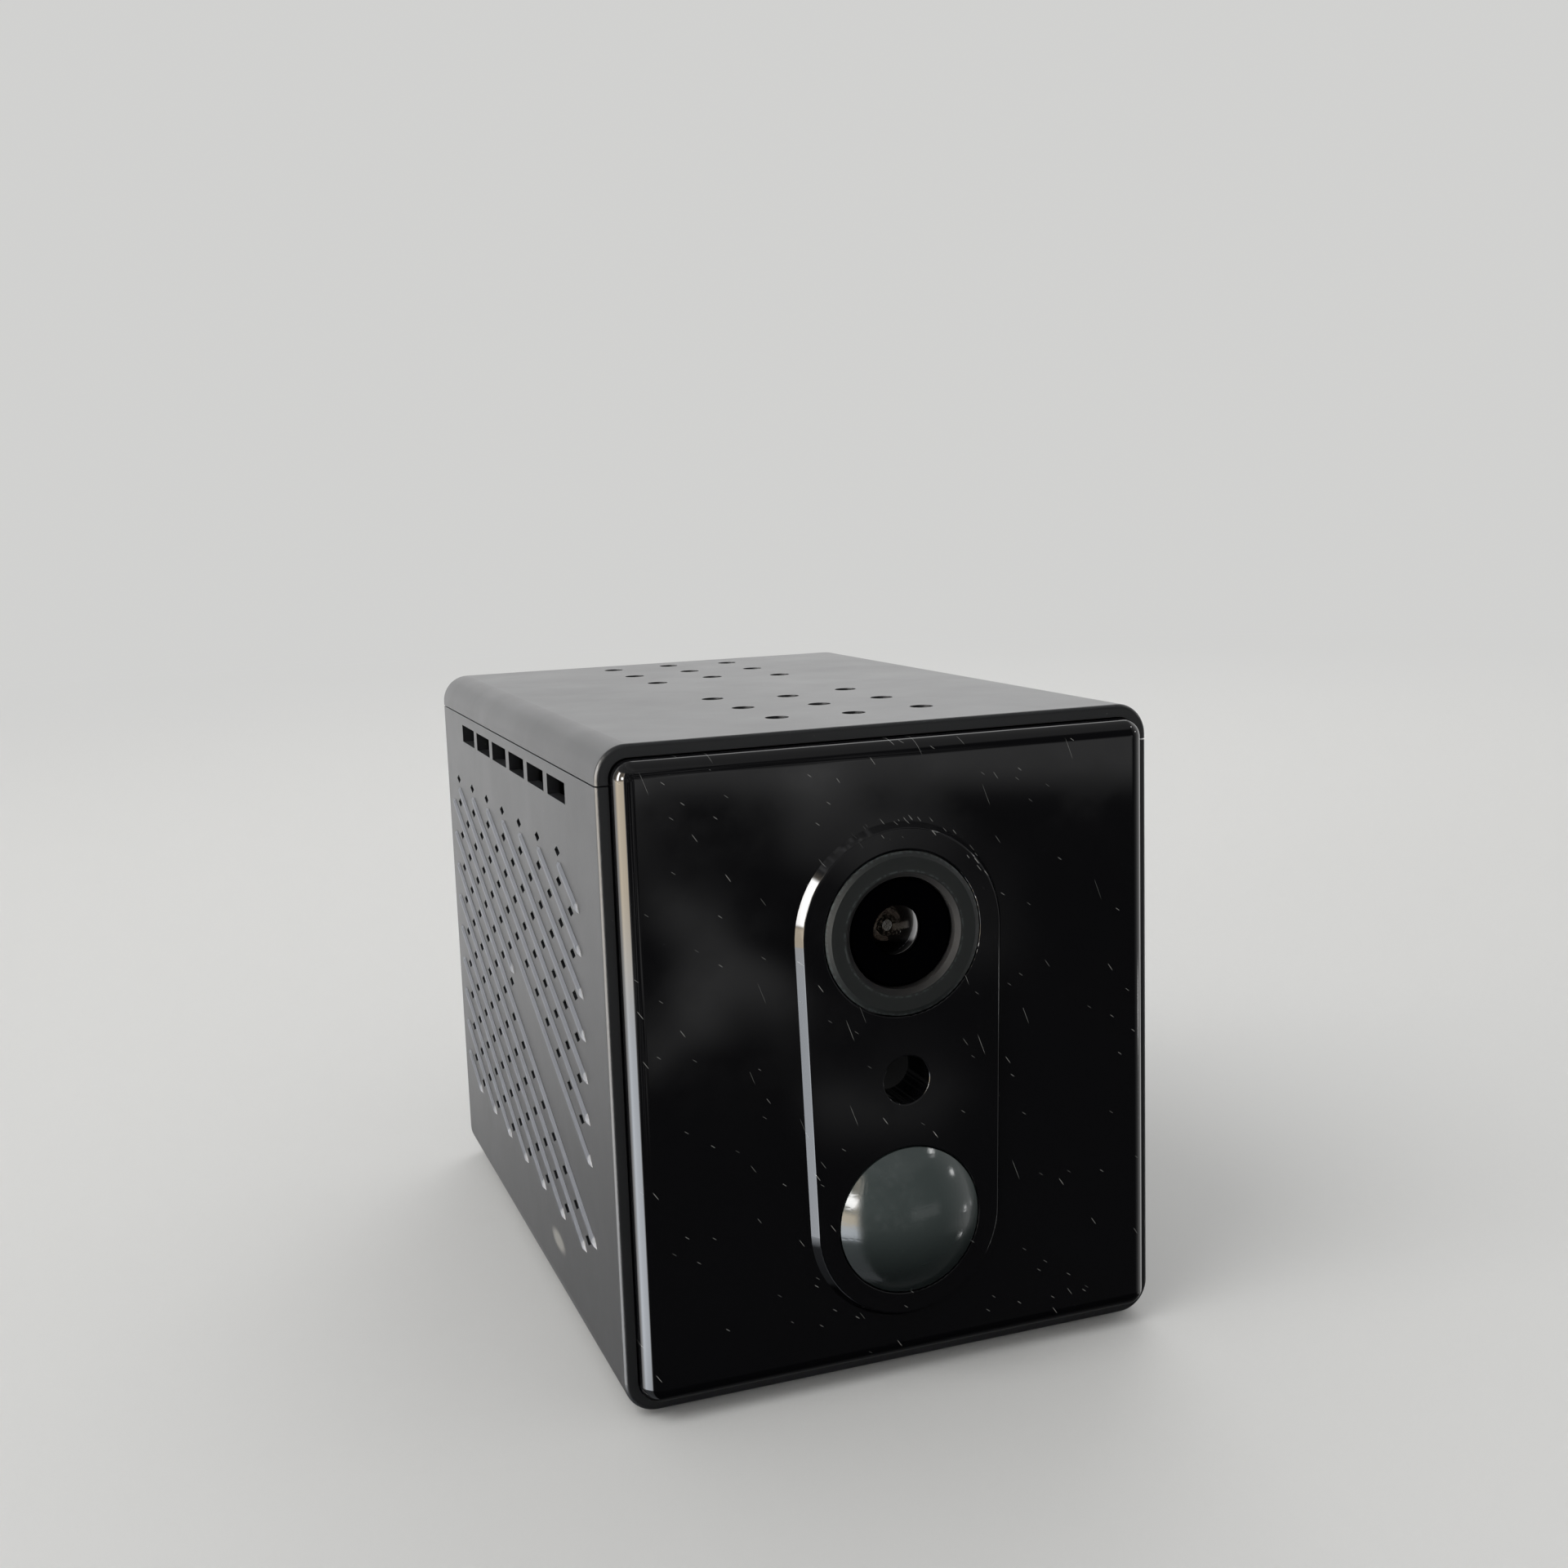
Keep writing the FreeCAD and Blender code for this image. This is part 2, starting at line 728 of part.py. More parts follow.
def body_tub():
    body = body_of("tub_shell")
    casing_tube(body, "tub_section")
    above = sketch_on(body, "tub_above_seam", "XZ_Plane", less(front, "sizes.past"))
    wide = total("sizes.body_width", "2 * sizes.past")
    rectangle(above, "0", less(seam, "sizes.seam_gap"), wide, "sizes.body_height")
    opened = pocket(body, above, total("sizes.body_depth", "2 * sizes.past"))
    round_rim(body, opened, "tub_rim")

    slots = sketch_on(body, "tub_slot", "YZ_Plane", "0")
    slot_middle = total(front, "sizes.slot_first", half("sizes.slot_length"))
    slot_low = less(seam, "sizes.slot_drop", "sizes.slot_height")
    rectangle(slots, slot_middle, slot_low, "sizes.slot_length", "sizes.slot_height")
    one_slot = pocket_through(body, slots)
    row_of_slots = body.newObject("PartDesign::LinearPattern", "tub_slots")
    row_of_slots.Originals = [one_slot]
    row_of_slots.Direction = (slots, ["H_Axis"])
    row_of_slots.setExpression("Length", "sizes.slot_pitch * (sizes.slot_count - 1)")
    row_of_slots.setExpression("Occurrences", "sizes.slot_count")
    body.Tip = row_of_slots
    doc.recompute()

    boss_pair(body, "tub_boss", boss_low, floor)

    ribs = sketch_on(body, "tub_battery_ribs", "XZ_Plane", battery_y)
    for side in (negative(half("sizes.rib_spacing")), half("sizes.rib_spacing")):
        rectangle(ribs, side, floor, "sizes.rib_thick", "sizes.battery_lift")
    pad(body, ribs, "sizes.battery_length", reverse=True)

    ledges = sketch_on(body, "tub_ledges", "XZ_Plane", board_front)
    ledge_middle = less(inner_half, half("sizes.ledge_width"))
    ledge_low = less(ledge_z, "sizes.ledge_thick")
    for side in (negative(ledge_middle), ledge_middle):
        rectangle(ledges, side, ledge_low, "sizes.ledge_width", "sizes.ledge_thick")
    pad(body, ledges, less(board_back, board_front), reverse=True)
    pilots = sketch_on(body, "tub_ledge_holes", "XY_Plane", ledge_z)
    for across, depth in main_board_screw_points():
        circle(pilots, across, depth, "sizes.screw_hole")
    pocket(body, pilots, "sizes.ledge_thick")

    seat = sketch_on(body, "tub_tripod_boss", "XY_Plane", base)
    circle(seat, "0", tripod_y, total("sizes.tripod_radius", "sizes.tripod_wall"))
    pad(body, seat, total("sizes.tripod_length", "sizes.tripod_seat"))
    bore = sketch_on(body, "tub_tripod_hole", "XY_Plane", base)
    circle(bore, "0", tripod_y, total("sizes.tripod_radius", "sizes.press_gap"))
    pocket(body, bore, "sizes.tripod_length", reverse=True)

    recesses = sketch_on(body, "tub_foot_recesses", "XY_Plane", base)
    for across, depth in foot_points():
        circle(recesses, across, depth, total("sizes.foot_radius", "sizes.fit_gap"))
    pocket(body, recesses, "sizes.foot_recess", reverse=True)

    ribbed = joined("tub_with_ribs", [body, side_relief("tub_ribs", rib_solid, list(rib_spans()))])
    dimples = side_relief("tub_dimples", dimple_solid, list(dimple_points()))
    return cut("body_tub", ribbed, [dimples])


def foot_points():
    """Middles of the four feet."""
    across = less(half("sizes.body_width"), "sizes.foot_inset")
    near = total(front, "sizes.foot_inset")
    far = less(back, "sizes.foot_inset")
    return [(side, depth) for side in (negative(across), across) for depth in (near, far)]


def main_board_screw_points():
    across = less(inner_half, "sizes.board_screw_inset")
    near = total(board_front, "sizes.board_screw_front")
    far = less(cover_face, "sizes.board_screw_rear")
    return [(side, depth) for side in (negative(across), across) for depth in (near, far)]


def vent_points():
    """Middles of the two groups of nine holes. The middle column of each has its own spacing."""
    for end in ("front", "rear"):
        for column in (-1, 0, 1):
            first = f"sizes.vent_{end}" if column else f"sizes.vent_{end}_middle"
            pitch = "sizes.vent_pitch" if column else "sizes.vent_middle_pitch"
            across = total("sizes.vent_offset", f"{column} * sizes.vent_column")
            for line in range(3):
                yield across, total(front, first, f"{line} * {pitch}")


def top_cover():
    body = body_of("top_cover")
    casing_tube(body, "lid_section")
    below = sketch_on(body, "lid_below_seam", "XZ_Plane", less(front, "sizes.past"))
    wide = total("sizes.body_width", "2 * sizes.past")
    rectangle(below, "0", less(base, "sizes.past"), wide, less(total(seam, "sizes.past"), base))
    opened = pocket(body, below, total("sizes.body_depth", "2 * sizes.past"))
    round_rim(body, opened, "lid_rim")

    lips = sketch_on(body, "lid_lips", "XZ_Plane", total(front, "sizes.lip_setback"))
    outer = less(inner_half, "sizes.fit_gap")
    inner = less(outer, "sizes.lip_thick")
    low = less(seam, "sizes.lip_drop")
    for mirror in (str, negative):
        edge = [(inner, low), (outer, low), (outer, seam), (inner_half, seam), (inner_half, ceiling)]
        outline(lips, [(mirror(across), up) for across, up in edge + [(inner, ceiling)]])
    lip_length = less("sizes.body_depth", "sizes.lip_setback", "sizes.lip_setback")
    pad(body, lips, lip_length, reverse=True)

    boss_pair(body, "lid_boss", boss_high, less(ceiling, "sizes.boss_size"))

    vents = sketch_on(body, "lid_vents", "XY_Plane", total(top, "sizes.past"))
    for across, depth in vent_points():
        circle(vents, across, depth, half("sizes.vent_diameter"))
    pocket(body, vents, total("sizes.wall", "sizes.past"))
    return body


def inner_plate(body, name, face, thick, backwards):
    """Plate that fills the casing's opening with a small gap all round."""
    sketch = sketch_on(body, name, "XZ_Plane", face)
    width = less(total(inner_half, inner_half), "2 * sizes.fit_gap")
    height = less(ceiling, floor, "2 * sizes.fit_gap")
    radius = less("sizes.corner_radius", "sizes.wall", "sizes.fit_gap")
    rounded_rectangle(sketch, "0", total(floor, "sizes.fit_gap"), width, height, radius)
    return pad(body, sketch, thick, reverse=backwards)


def rear_cover():
    body = body_of("rear_cover")
    inner_plate(body, "cover_plate", back, "sizes.cover_thick", False)

    heads = sketch_on(body, "cover_head_holes", "XZ_Plane", back)
    shanks = sketch_on(body, "cover_screw_holes", "XZ_Plane", back)
    for height in (boss_low, boss_high):
        for across, up in screw_points(height):
            circle(heads, across, up, total("sizes.head_radius", "sizes.fit_gap"))
            circle(shanks, across, up, total("sizes.screw_radius", "sizes.head_clearance"))
    pocket(body, heads, "sizes.head_thick", reverse=True)
    pocket(body, shanks, "sizes.cover_thick", reverse=True)

    ports = sketch_on(body, "cover_ports", "XZ_Plane", back)
    usb_low = less(board_top, "sizes.port_gap")
    usb_high = total("sizes.usb_height", "2 * sizes.port_gap")
    usb_wide = total("sizes.usb_width", "2 * sizes.port_gap")
    rounded_rectangle(ports, "0", usb_low, usb_wide, usb_high, less(half(usb_high), "sizes.usb_flat"))
    card_wide = total("sizes.card_width", "4 * sizes.card_gap")
    card_high = total("sizes.card_thick", "4 * sizes.card_gap")
    rectangle(ports, card_x, less(card_z, "2 * sizes.card_gap"), card_wide, card_high)
    for across, radius in ((power_x, "sizes.power_radius"), (reset_x, "sizes.reset_radius")):
        circle(ports, across, button_z, total(radius, "sizes.button_gap"))
    pocket(body, ports, "sizes.cover_thick", reverse=True)

    notch = sketch_on(body, "cover_card_notch", "XZ_Plane", back)
    rectangle(notch, card_x, card_z, half("sizes.card_width"), "sizes.card_notch")
    pocket(body, notch, half("sizes.cover_thick"), reverse=True)
    return body


# Front


def front_panel():
    body = body_of("front_panel")
    plate = inner_plate(body, "panel_plate", panel_back, less(panel_back, panel_face), False)
    face = value(panel_face)
    round_edges(body, plate, "panel_round", "sizes.panel_fillet", lambda edge: lies_at(edge, "Y", face))

    hollow = sketch_on(body, "panel_hollow", "XZ_Plane", panel_back)
    inset = total("sizes.fit_gap", "sizes.panel_skirt")
    width = less(total(inner_half, inner_half), f"2 * {inset}")
    height = less(ceiling, floor, f"2 * {inset}")
    rectangle(hollow, "0", total(floor, inset), width, height)
    pocket(body, hollow, less(panel_back, panel_inside), reverse=True)

    arch = sketch_on(body, "panel_arch", "XZ_Plane", panel_face)
    arch_outline(arch)
    raised = body.newObject("PartDesign::Pad", "panel_arch_pad")
    raised.Profile = arch
    raised.setExpression("Length", "sizes.arch_rise")
    raised.setExpression("TaperAngle", "0 - sizes.arch_slope")
    grown(body, raised, 1)
    crest = value(arch_face)
    round_edges(body, raised, "arch_round", "sizes.arch_round", lambda edge: lies_at(edge, "Y", crest))

    seat = sketch_on(body, "panel_lens_seat", "XZ_Plane", arch_face)
    circle(seat, "0", lens_z, total("sizes.lens_ring_radius", "sizes.fit_gap"))
    pocket(body, seat, less(ring_seat, arch_face))

    holes = sketch_on(body, "panel_holes", "XZ_Plane", arch_face)
    circle(holes, "0", lens_z, total("sizes.lens_ring_neck", "sizes.fit_gap"))
    circle(holes, "0", sensor_z, "sizes.sensor_radius")
    circle(holes, "0", motion_z, total("sizes.dome_radius", "sizes.fit_gap"))
    opened = pocket(body, holes, less(panel_back, arch_face))

    def hole_edge(edge):
        return edge.isClosed() and lies_at(edge, "Y", crest)

    round_edges(body, opened, "panel_hole_round", "sizes.hole_round", hole_edge)
    return body


def arch_outline(sketch):
    """Two arcs, round the lens and round the motion lens, joined by the straight lines that touch both."""
    upper, lower = value("sizes.arch_radius"), value("sizes.arch_foot_radius")
    top_middle = Vector(0, value(lens_z), 0)
    foot_middle = Vector(0, value(motion_z), 0)
    lean = math.asin((upper - lower) / (top_middle.y - foot_middle.y))
    up = Vector(0, 0, 1)
    crown = Part.ArcOfCircle(Part.Circle(top_middle, up, upper), lean, math.pi - lean)
    heel = Part.ArcOfCircle(Part.Circle(foot_middle, up, lower), math.pi - lean, 2 * math.pi + lean)
    left = Part.LineSegment(crown.EndPoint, heel.StartPoint)
    right = Part.LineSegment(heel.EndPoint, crown.StartPoint)
    run = [sketch.addGeometry(curve, False) for curve in (crown, left, heel, right)]
    for step, number in enumerate(run):
        sketch.addConstraint(Sketcher.Constraint("Tangent", number, 2, run[(step + 1) % 4], 1))
    measure(sketch, "Radius", run[0], "sizes.arch_radius")
    measure(sketch, "Radius", run[2], "sizes.arch_foot_radius")
    for number, height in ((run[0], lens_z), (run[2], motion_z)):
        measure(sketch, "DistanceX", -1, 1, number, 3, "0")
        measure(sketch, "DistanceY", -1, 1, number, 3, height)


def panel_tape():
    body = body_of("panel_tape")
    sketch = sketch_on(body, "tape_ring", "XZ_Plane", panel_back)
    corner = less("sizes.corner_radius", "sizes.wall", "2 * sizes.fit_gap")
    inner = total("sizes.fit_gap", "sizes.panel_skirt")
    for inset, radius in (("2 * sizes.fit_gap", corner), (inner, f"{corner} / 3")):
        width = less(total(inner_half, inner_half), f"2 * {inset}")
        height = less(ceiling, floor, f"2 * {inset}")
        rounded_rectangle(sketch, "0", total(floor, inset), width, height, radius)
    pad(body, sketch, "sizes.tape_thick", reverse=True)
    return body


def camera_posts():
    low = less(lens_z, "sizes.camera_post_drop")
    high = total(lens_z, "sizes.camera_post_rise")
    return [(side, up) for side in (negative(camera_post_x), camera_post_x) for up in (low, high)]


def sensor_posts():
    low = less(motion_z, "sizes.sensor_post_drop")
    high = total(motion_z, "sizes.sensor_post_rise")
    return [(side, up) for side in (negative(sensor_post_x), sensor_post_x) for up in (low, high)]


def front_frame():
    body = body_of("front_frame")
    inner_plate(body, "frame_plate", frame_face, "sizes.frame_thick", True)
    for name, points, board_face in (
        ("frame_camera", camera_posts(), camera_board_face),
        ("frame_sensor", sensor_posts(), sensor_board_face),
    ):
        posts = sketch_on(body, name + "_posts", "XZ_Plane", frame_back)
        pilots = sketch_on(body, name + "_pilots", "XZ_Plane", board_face)
        for across, up in points:
            circle(posts, across, up, "sizes.post_radius")
            circle(pilots, across, up, "sizes.screw_hole")
        pad(body, posts, less(board_face, frame_back), reverse=True)
        pocket(body, pilots, "sizes.pilot_length", reverse=True)

    holes = sketch_on(body, "frame_holes", "XZ_Plane", frame_face)
    circle(holes, "0", lens_z, total("sizes.holder_radius", "sizes.holder_clearance"))
    circle(holes, "0", sensor_z, "sizes.window_radius")
    circle(holes, "0", motion_z, "sizes.dome_flange_radius")
    for side in lamp_places:
        circle(holes, side, sensor_z, "sizes.sensor_radius")
    for height in (boss_low, boss_high):
        for across, up in screw_points(height):
            circle(holes, across, up, total("sizes.screw_radius", "sizes.head_clearance"))
    pocket(body, holes, "sizes.frame_thick")
    return body


def lens_ring():
    """Matte ring round the lens, with a bevelled face and a neck through the panel."""
    outer, opening, neck = "sizes.lens_ring_radius", "sizes.lens_ring_opening", "sizes.lens_ring_neck"
    profile = [
        (total(opening, "sizes.lens_chamfer"), "0"),
        (less(outer, "sizes.lens_bevel"), "0"),
        (outer, "sizes.lens_proud"),
        (outer, "sizes.lens_flange"),
        (neck, "sizes.lens_flange"),
        (neck, total("sizes.lens_flange", "sizes.lens_neck_depth")),
        (opening, total("sizes.lens_flange", "sizes.lens_neck_depth")),
        (opening, "sizes.lens_chamfer"),
    ]
    return turned("lens_ring", "0", ring_face, lens_z, profile)


def lens_barrel():
    """Lens barrel: plain head with a dished black front, threaded tail and hollow middle."""
    head, tail = "sizes.barrel_head_radius", "sizes.thread_radius"
    neck_end, length = "sizes.barrel_head_length", "sizes.barrel_length"
    glass = "sizes.glass_radius"
    rim = less(glass, "sizes.barrel_lip")
    seat = "sizes.glass_crown"
    seat_end = total(seat, "sizes.glass_thick")
    seat_radius = total(glass, "sizes.press_gap")
    bore = less(glass, "sizes.barrel_bore_inset")
    tail_bore = less(tail, "sizes.barrel_tail_wall")
    tail_start = less(length, "sizes.barrel_tail")
    profile = [
        (less(head, "sizes.barrel_chamfer"), "0"),
        (head, "sizes.barrel_chamfer"),
        (head, neck_end),
        (tail, neck_end),
        (tail, length),
        (tail_bore, length),
        (tail_bore, tail_start),
        (bore, tail_start),
        (bore, seat_end),
        (seat_radius, seat_end),
        (seat_radius, seat),
        (rim, seat),
        (total(rim, "sizes.barrel_dish"), "sizes.barrel_lip"),
    ]
    return turned("lens_barrel", "0", barrel_face, lens_z, profile)


def front_glass():
    """Front element: flat back and a domed front that fills the barrel's opening."""
    radius, crown, edge = "sizes.glass_radius", "sizes.glass_crown", "sizes.glass_edge"
    curve = f"(2 * {radius})"
    seat = total(barrel_face, crown)
    ball = doc.addObject("Part::Sphere", "glass_ball")
    ball.setExpression("Radius", curve)
    place(ball, "0", total(less(seat, crown), edge, curve), lens_z)
    core_length = total(crown, "sizes.fit_gap")
    core = rod("glass_core", "0", less(seat, crown), lens_z, less(radius, edge), core_length)
    dome = shared("glass_dome", [ball, core])
    plate = rod("glass_plate", "0", seat, lens_z, radius, "sizes.glass_thick")
    return joined("front_glass", [dome, plate])


def inner_lens():
    radius = less("sizes.thread_radius", "sizes.barrel_tail_wall", half("sizes.fit_gap"))
    near = total(barrel_face, less("sizes.barrel_length", "sizes.barrel_tail"))
    return rod("inner_lens", "0", near, lens_z, radius, "sizes.inner_lens_length")


def lens_holder():
    body = body_of("lens_holder")
    tube = sketch_on(body, "holder_tube", "XZ_Plane", holder_face)
    circle(tube, "0", lens_z, "sizes.holder_radius")
    pad(body, tube, less("sizes.holder_length", "sizes.holder_flange"), reverse=True)
    foot = sketch_on(body, "holder_foot", "XZ_Plane", camera_board_face)
    rectangle(foot, "0", less(lens_z, half("sizes.holder_size")), "sizes.holder_size", "sizes.holder_size")
    pad(body, foot, "sizes.holder_flange")
    thread = sketch_on(body, "holder_thread", "XZ_Plane", holder_face)
    circle(thread, "0", lens_z, total("sizes.thread_radius", half("sizes.fit_gap")))
    pocket(body, thread, less("sizes.holder_length", "sizes.holder_flange"))
    window = sketch_on(body, "holder_window", "XZ_Plane", holder_face)
    circle(window, "0", lens_z, half("sizes.sensor_chip"))
    pocket(body, window, "sizes.holder_length")
    cavity = sketch_on(body, "holder_cavity", "XZ_Plane", camera_board_face)
    side = total("sizes.filter_size", "2 * sizes.fit_gap")
    rectangle(cavity, "0", less(lens_z, half(side)), side, side)
    pocket(body, cavity, less("sizes.holder_flange", "sizes.filter_lip"), reverse=True)
    return body


def filter_glass():
    near = less(total(camera_board_face, "sizes.filter_lip"), "sizes.holder_flange")
    size = "sizes.filter_size"
    return block("filter_glass", "0", near, less(lens_z, half(size)), size, "sizes.filter_thick", size)


def image_sensor():
    size, thick = "sizes.sensor_chip", "sizes.sensor_chip_thick"
    near = less(camera_board_face, thick)
    return block("image_sensor", "0", near, less(lens_z, half(size)), size, thick, size)


def board_with_holes(name, near, low, width, height, holes):
    """Upright circuit board with round screw holes."""
    plate = block(name + "_plate", "0", near, low, width, "sizes.board_thick", height)
    clear = total("sizes.screw_radius", "sizes.head_clearance")
    reach = total("sizes.board_thick", "2 * sizes.past")
    drills = [
        rod(f"{name}_drill{number}", across, less(near, "sizes.past"), up, clear, reach)
        for number, (across, up) in enumerate(holes, start=1)
    ]
    return cut(name, plate, drills)


def camera_board():
    width = total(camera_board_half, camera_board_half)
    return board_with_holes("camera_board", camera_board_face, camera_board_low, width,
                            "sizes.camera_board_height", camera_posts())


def microphone_connector():
    """Pale socket on the front of the camera board, level with the foremost slot."""
    depth, height = "sizes.socket_depth", "sizes.socket_height"
    near = less(camera_board_face, depth)
    low = less(total(camera_board_low, "sizes.camera_board_height"), height, "sizes.fit_gap")
    middle = less("sizes.socket_inset", inner_half)
    return block("microphone_connector", middle, near, low, "sizes.socket_width", depth, height)


def sensor_board():
    width = total(sensor_board_half, sensor_board_half)
    return board_with_holes("sensor_board", sensor_board_face, sensor_board_low, width,
                            "sizes.sensor_board_height", sensor_posts())


def pir_lens():
    """Shallow domed lens with a skirt through the panel and a flange behind it."""
    radius, height, wall = "sizes.dome_radius", "sizes.dome_height", "sizes.dome_wall"
    curve = f"((pow({radius}; 2) + pow({height}; 2)) / (2 * {height}))"
    centre = total(less(arch_face, height), curve)
    outside = doc.addObject("Part::Sphere", "dome_outside")
    outside.setExpression("Radius", curve)
    place(outside, "0", centre, motion_z)
    inside = doc.addObject("Part::Sphere", "dome_inside")
    inside.setExpression("Radius", less(curve, wall))
    place(inside, "0", centre, motion_z)
    reach = rod("dome_reach", "0", less(arch_face, height, "sizes.past"), motion_z, radius,
                total(height, "sizes.past"))
    cap = shared("dome_cap", [outside, reach])
    skirt = rod("dome_skirt", "0", arch_face, motion_z, radius, less(panel_inside, arch_face))
    flange = rod("dome_flange", "0", panel_inside, motion_z, "sizes.dome_flange_radius", "sizes.dome_flange")
    hollow = rod("dome_hollow", "0", arch_face, motion_z, less(radius, wall),
                 total(less(panel_inside, arch_face), "sizes.dome_flange", "sizes.past"))
    dish = shared("dome_dish", [inside, reach])
    return cut("pir_lens", joined("dome_solid", [cap, skirt, flange]), [dish, hollow])


def pir_can():
    """Metal can of the motion sensor with its rim, standing on the sensor board."""
    height, rim_height = "sizes.can_height", "sizes.can_rim"
    can = rod("can_body", "0", less(sensor_board_face, height), motion_z, "sizes.can_radius", height)
    rim_near = less(sensor_board_face, rim_height)
    rim = rod("can_rim", "0", rim_near, motion_z, "sizes.can_rim_radius", rim_height)
    return joined("pir_can", [can, rim])


def sensor_window():
    return rod("sensor_window", "0", panel_inside, sensor_z, "sizes.window_radius", "sizes.window_thick")


def light_sensor():
    height, thick = "sizes.light_chip_height", "sizes.light_chip_thick"
    near, low = less(sensor_board_face, thick), less(sensor_z, half(height))
    return block("light_sensor", "0", near, low, "sizes.light_chip_width", thick, height)


def infrared_leds():
    size, thick = "sizes.lamp_size", "sizes.lamp_thick"
    near, low = less(sensor_board_face, thick), less(sensor_z, half(size))
    lamps = [
        block(f"infrared_led{number}", side, near, low, size, thick, size)
        for number, side in enumerate(lamp_places, start=1)
    ]
    return group("infrared_leds", lamps)


def status_led():
    size = "sizes.status_size"
    middle = total("sizes.window_radius", "sizes.status_gap")
    near, low = less(sensor_board_face, size), less(sensor_z, "sizes.status_drop")
    return block("status_led", middle, near, low, "sizes.status_width", size, size)


# Screws


def screw(name, across, face, up, inward):
    """Small pan screw along Y whose head stands on a face. Inward is 1 to the back."""
    head, shank = "sizes.head_thick", "sizes.screw_length"
    if inward > 0:
        cap = rod(name + "_head", across, less(face, head), up, "sizes.head_radius", head)
        stem = rod(name + "_stem", across, face, up, "sizes.screw_radius", shank)
    else:
        cap = rod(name + "_head", across, face, up, "sizes.head_radius", head)
        stem = rod(name + "_stem", across, less(face, shank), up, "sizes.screw_radius", shank)
    return joined(name, [cap, stem])


def corner_screws(label, face, inward):
    places = [point for height in (boss_low, boss_high) for point in screw_points(height)]
    return group(label, [screw(f"{label}{number}", across, face, up, inward)
                         for number, (across, up) in enumerate(places, start=1)])


def front_board_screws():
    """Short screws that hold the two front boards to the frame's posts."""
    items = []
    for board, face in ((camera_posts(), camera_board_face), (sensor_posts(), sensor_board_face)):
        for across, up in board:
            number = len(items) + 1
            outside = total(face, "sizes.board_thick")
            head = rod(f"post_head{number}", across, outside, up, "sizes.head_radius", "sizes.head_thick")
            stem = rod(f"post_stem{number}", across, less(face, "sizes.board_screw_length"), up,
                       "sizes.screw_radius", total("sizes.board_thick", "sizes.board_screw_length"))
            items.append(joined(f"post_screw{number}", [head, stem]))
    return group("front_board_screws", items)


def main_board_screws():
    items = []
    for number, (across, depth) in enumerate(main_board_screw_points(), start=1):
        head = disc(f"board_head{number}", across, depth, board_top, "sizes.head_radius", "sizes.head_thick")
        stem = disc(f"board_stem{number}", across, depth, less(board_top, "sizes.board_screw_length"),
                    "sizes.screw_radius", "sizes.board_screw_length")
        items.append(joined(f"board_screw{number}", [head, stem]))
    return group("main_board_screws", items)


# Main board and what stands on it

card_z = total(board_top, "sizes.socket_wall", "sizes.card_gap")


def main_board():
    width = less(total(inner_half, inner_half), "2 * sizes.board_margin")
    length = less(board_back, board_front)
    plate = block("main_plate", "0", board_front, ledge_z, width, length, "sizes.board_thick")
    clear = total("sizes.screw_radius", "sizes.head_clearance")
    reach = total("sizes.board_thick", "2 * sizes.past")
    drills = [
        disc(f"main_drill{number}", across, depth, less(ledge_z, "sizes.past"), clear, reach)
        for number, (across, depth) in enumerate(main_board_screw_points(), start=1)
    ]
    return cut("main_board", plate, drills)


chip_y = total(board_front, "sizes.chip_back")
pad_low = total(board_top, "sizes.chip_thick")
sink_low = total(pad_low, "sizes.heat_pad_thick")


def main_chip():
    size = "sizes.chip_size"
    return block("main_chip", "0", chip_y, board_top, size, size, "sizes.chip_thick")


def heat_pad():
    size = "sizes.chip_size"
    return block("heat_pad", "0", chip_y, pad_low, size, size, "sizes.heat_pad_thick")


def heat_sink():
    """Finned plate over the middle of the main chip."""
    body = body_of("heat_sink")
    near = less(total(chip_y, half("sizes.chip_size")), half("sizes.sink_size"))
    plate = sketch_on(body, "sink_plate", "XZ_Plane", near)
    rectangle(plate, "0", sink_low, "sizes.sink_size", "sizes.sink_thick")
    pad(body, plate, "sizes.sink_size", reverse=True)
    fins = sketch_on(body, "sink_fins", "XZ_Plane", near)
    reach = half(less("sizes.sink_size", "sizes.fin_thick"))
    fin_low = less(total(sink_low, "sizes.sink_thick"), "sizes.fin_root")
    fin_tall = total("sizes.fin_height", "sizes.fin_root")
    count = int(value("sizes.fin_count"))
    for number in range(count):
        share = 2 * number / (count - 1) - 1
        rectangle(fins, f"({share} * {reach})", fin_low, "sizes.fin_thick", fin_tall)
    pad(body, fins, "sizes.sink_size", reverse=True)
    return body


def memory_chips():
    """A large chip right of the main chip and a small one ahead of the wireless module."""
    width, length, thick = "sizes.memory_width", "sizes.memory_length", "sizes.memory_thick"
    small = half(length)
    behind = less(total(chip_y, "sizes.chip_size"), length)
    ahead = less(chip_y, small, "sizes.memory_gap")
    return group("memory_chips", [
        block("memory_chip1", "sizes.memory_x", behind, board_top, width, length, thick),
        block("memory_chip2", negative("sizes.memory_x"), ahead, board_top, small, small, thick),
    ])


def wifi_module():
    """Small circuit board with a metal shield can on it."""
    across, width, length = "sizes.wifi_x", "sizes.wifi_width", "sizes.wifi_length"
    plate = block("wifi_plate", across, chip_y, board_top, width, length, "sizes.wifi_thick")
    near = total(chip_y, f"{length} / 4")
    deep = less(f"0.75 * {length}", "sizes.shield_inset")
    wide = less(width, "2 * sizes.shield_inset")
    low = total(board_top, "sizes.wifi_thick")
    shield = block("wifi_shield", across, near, low, wide, deep, "sizes.shield_height")
    return joined("wifi_module", [plate, shield])


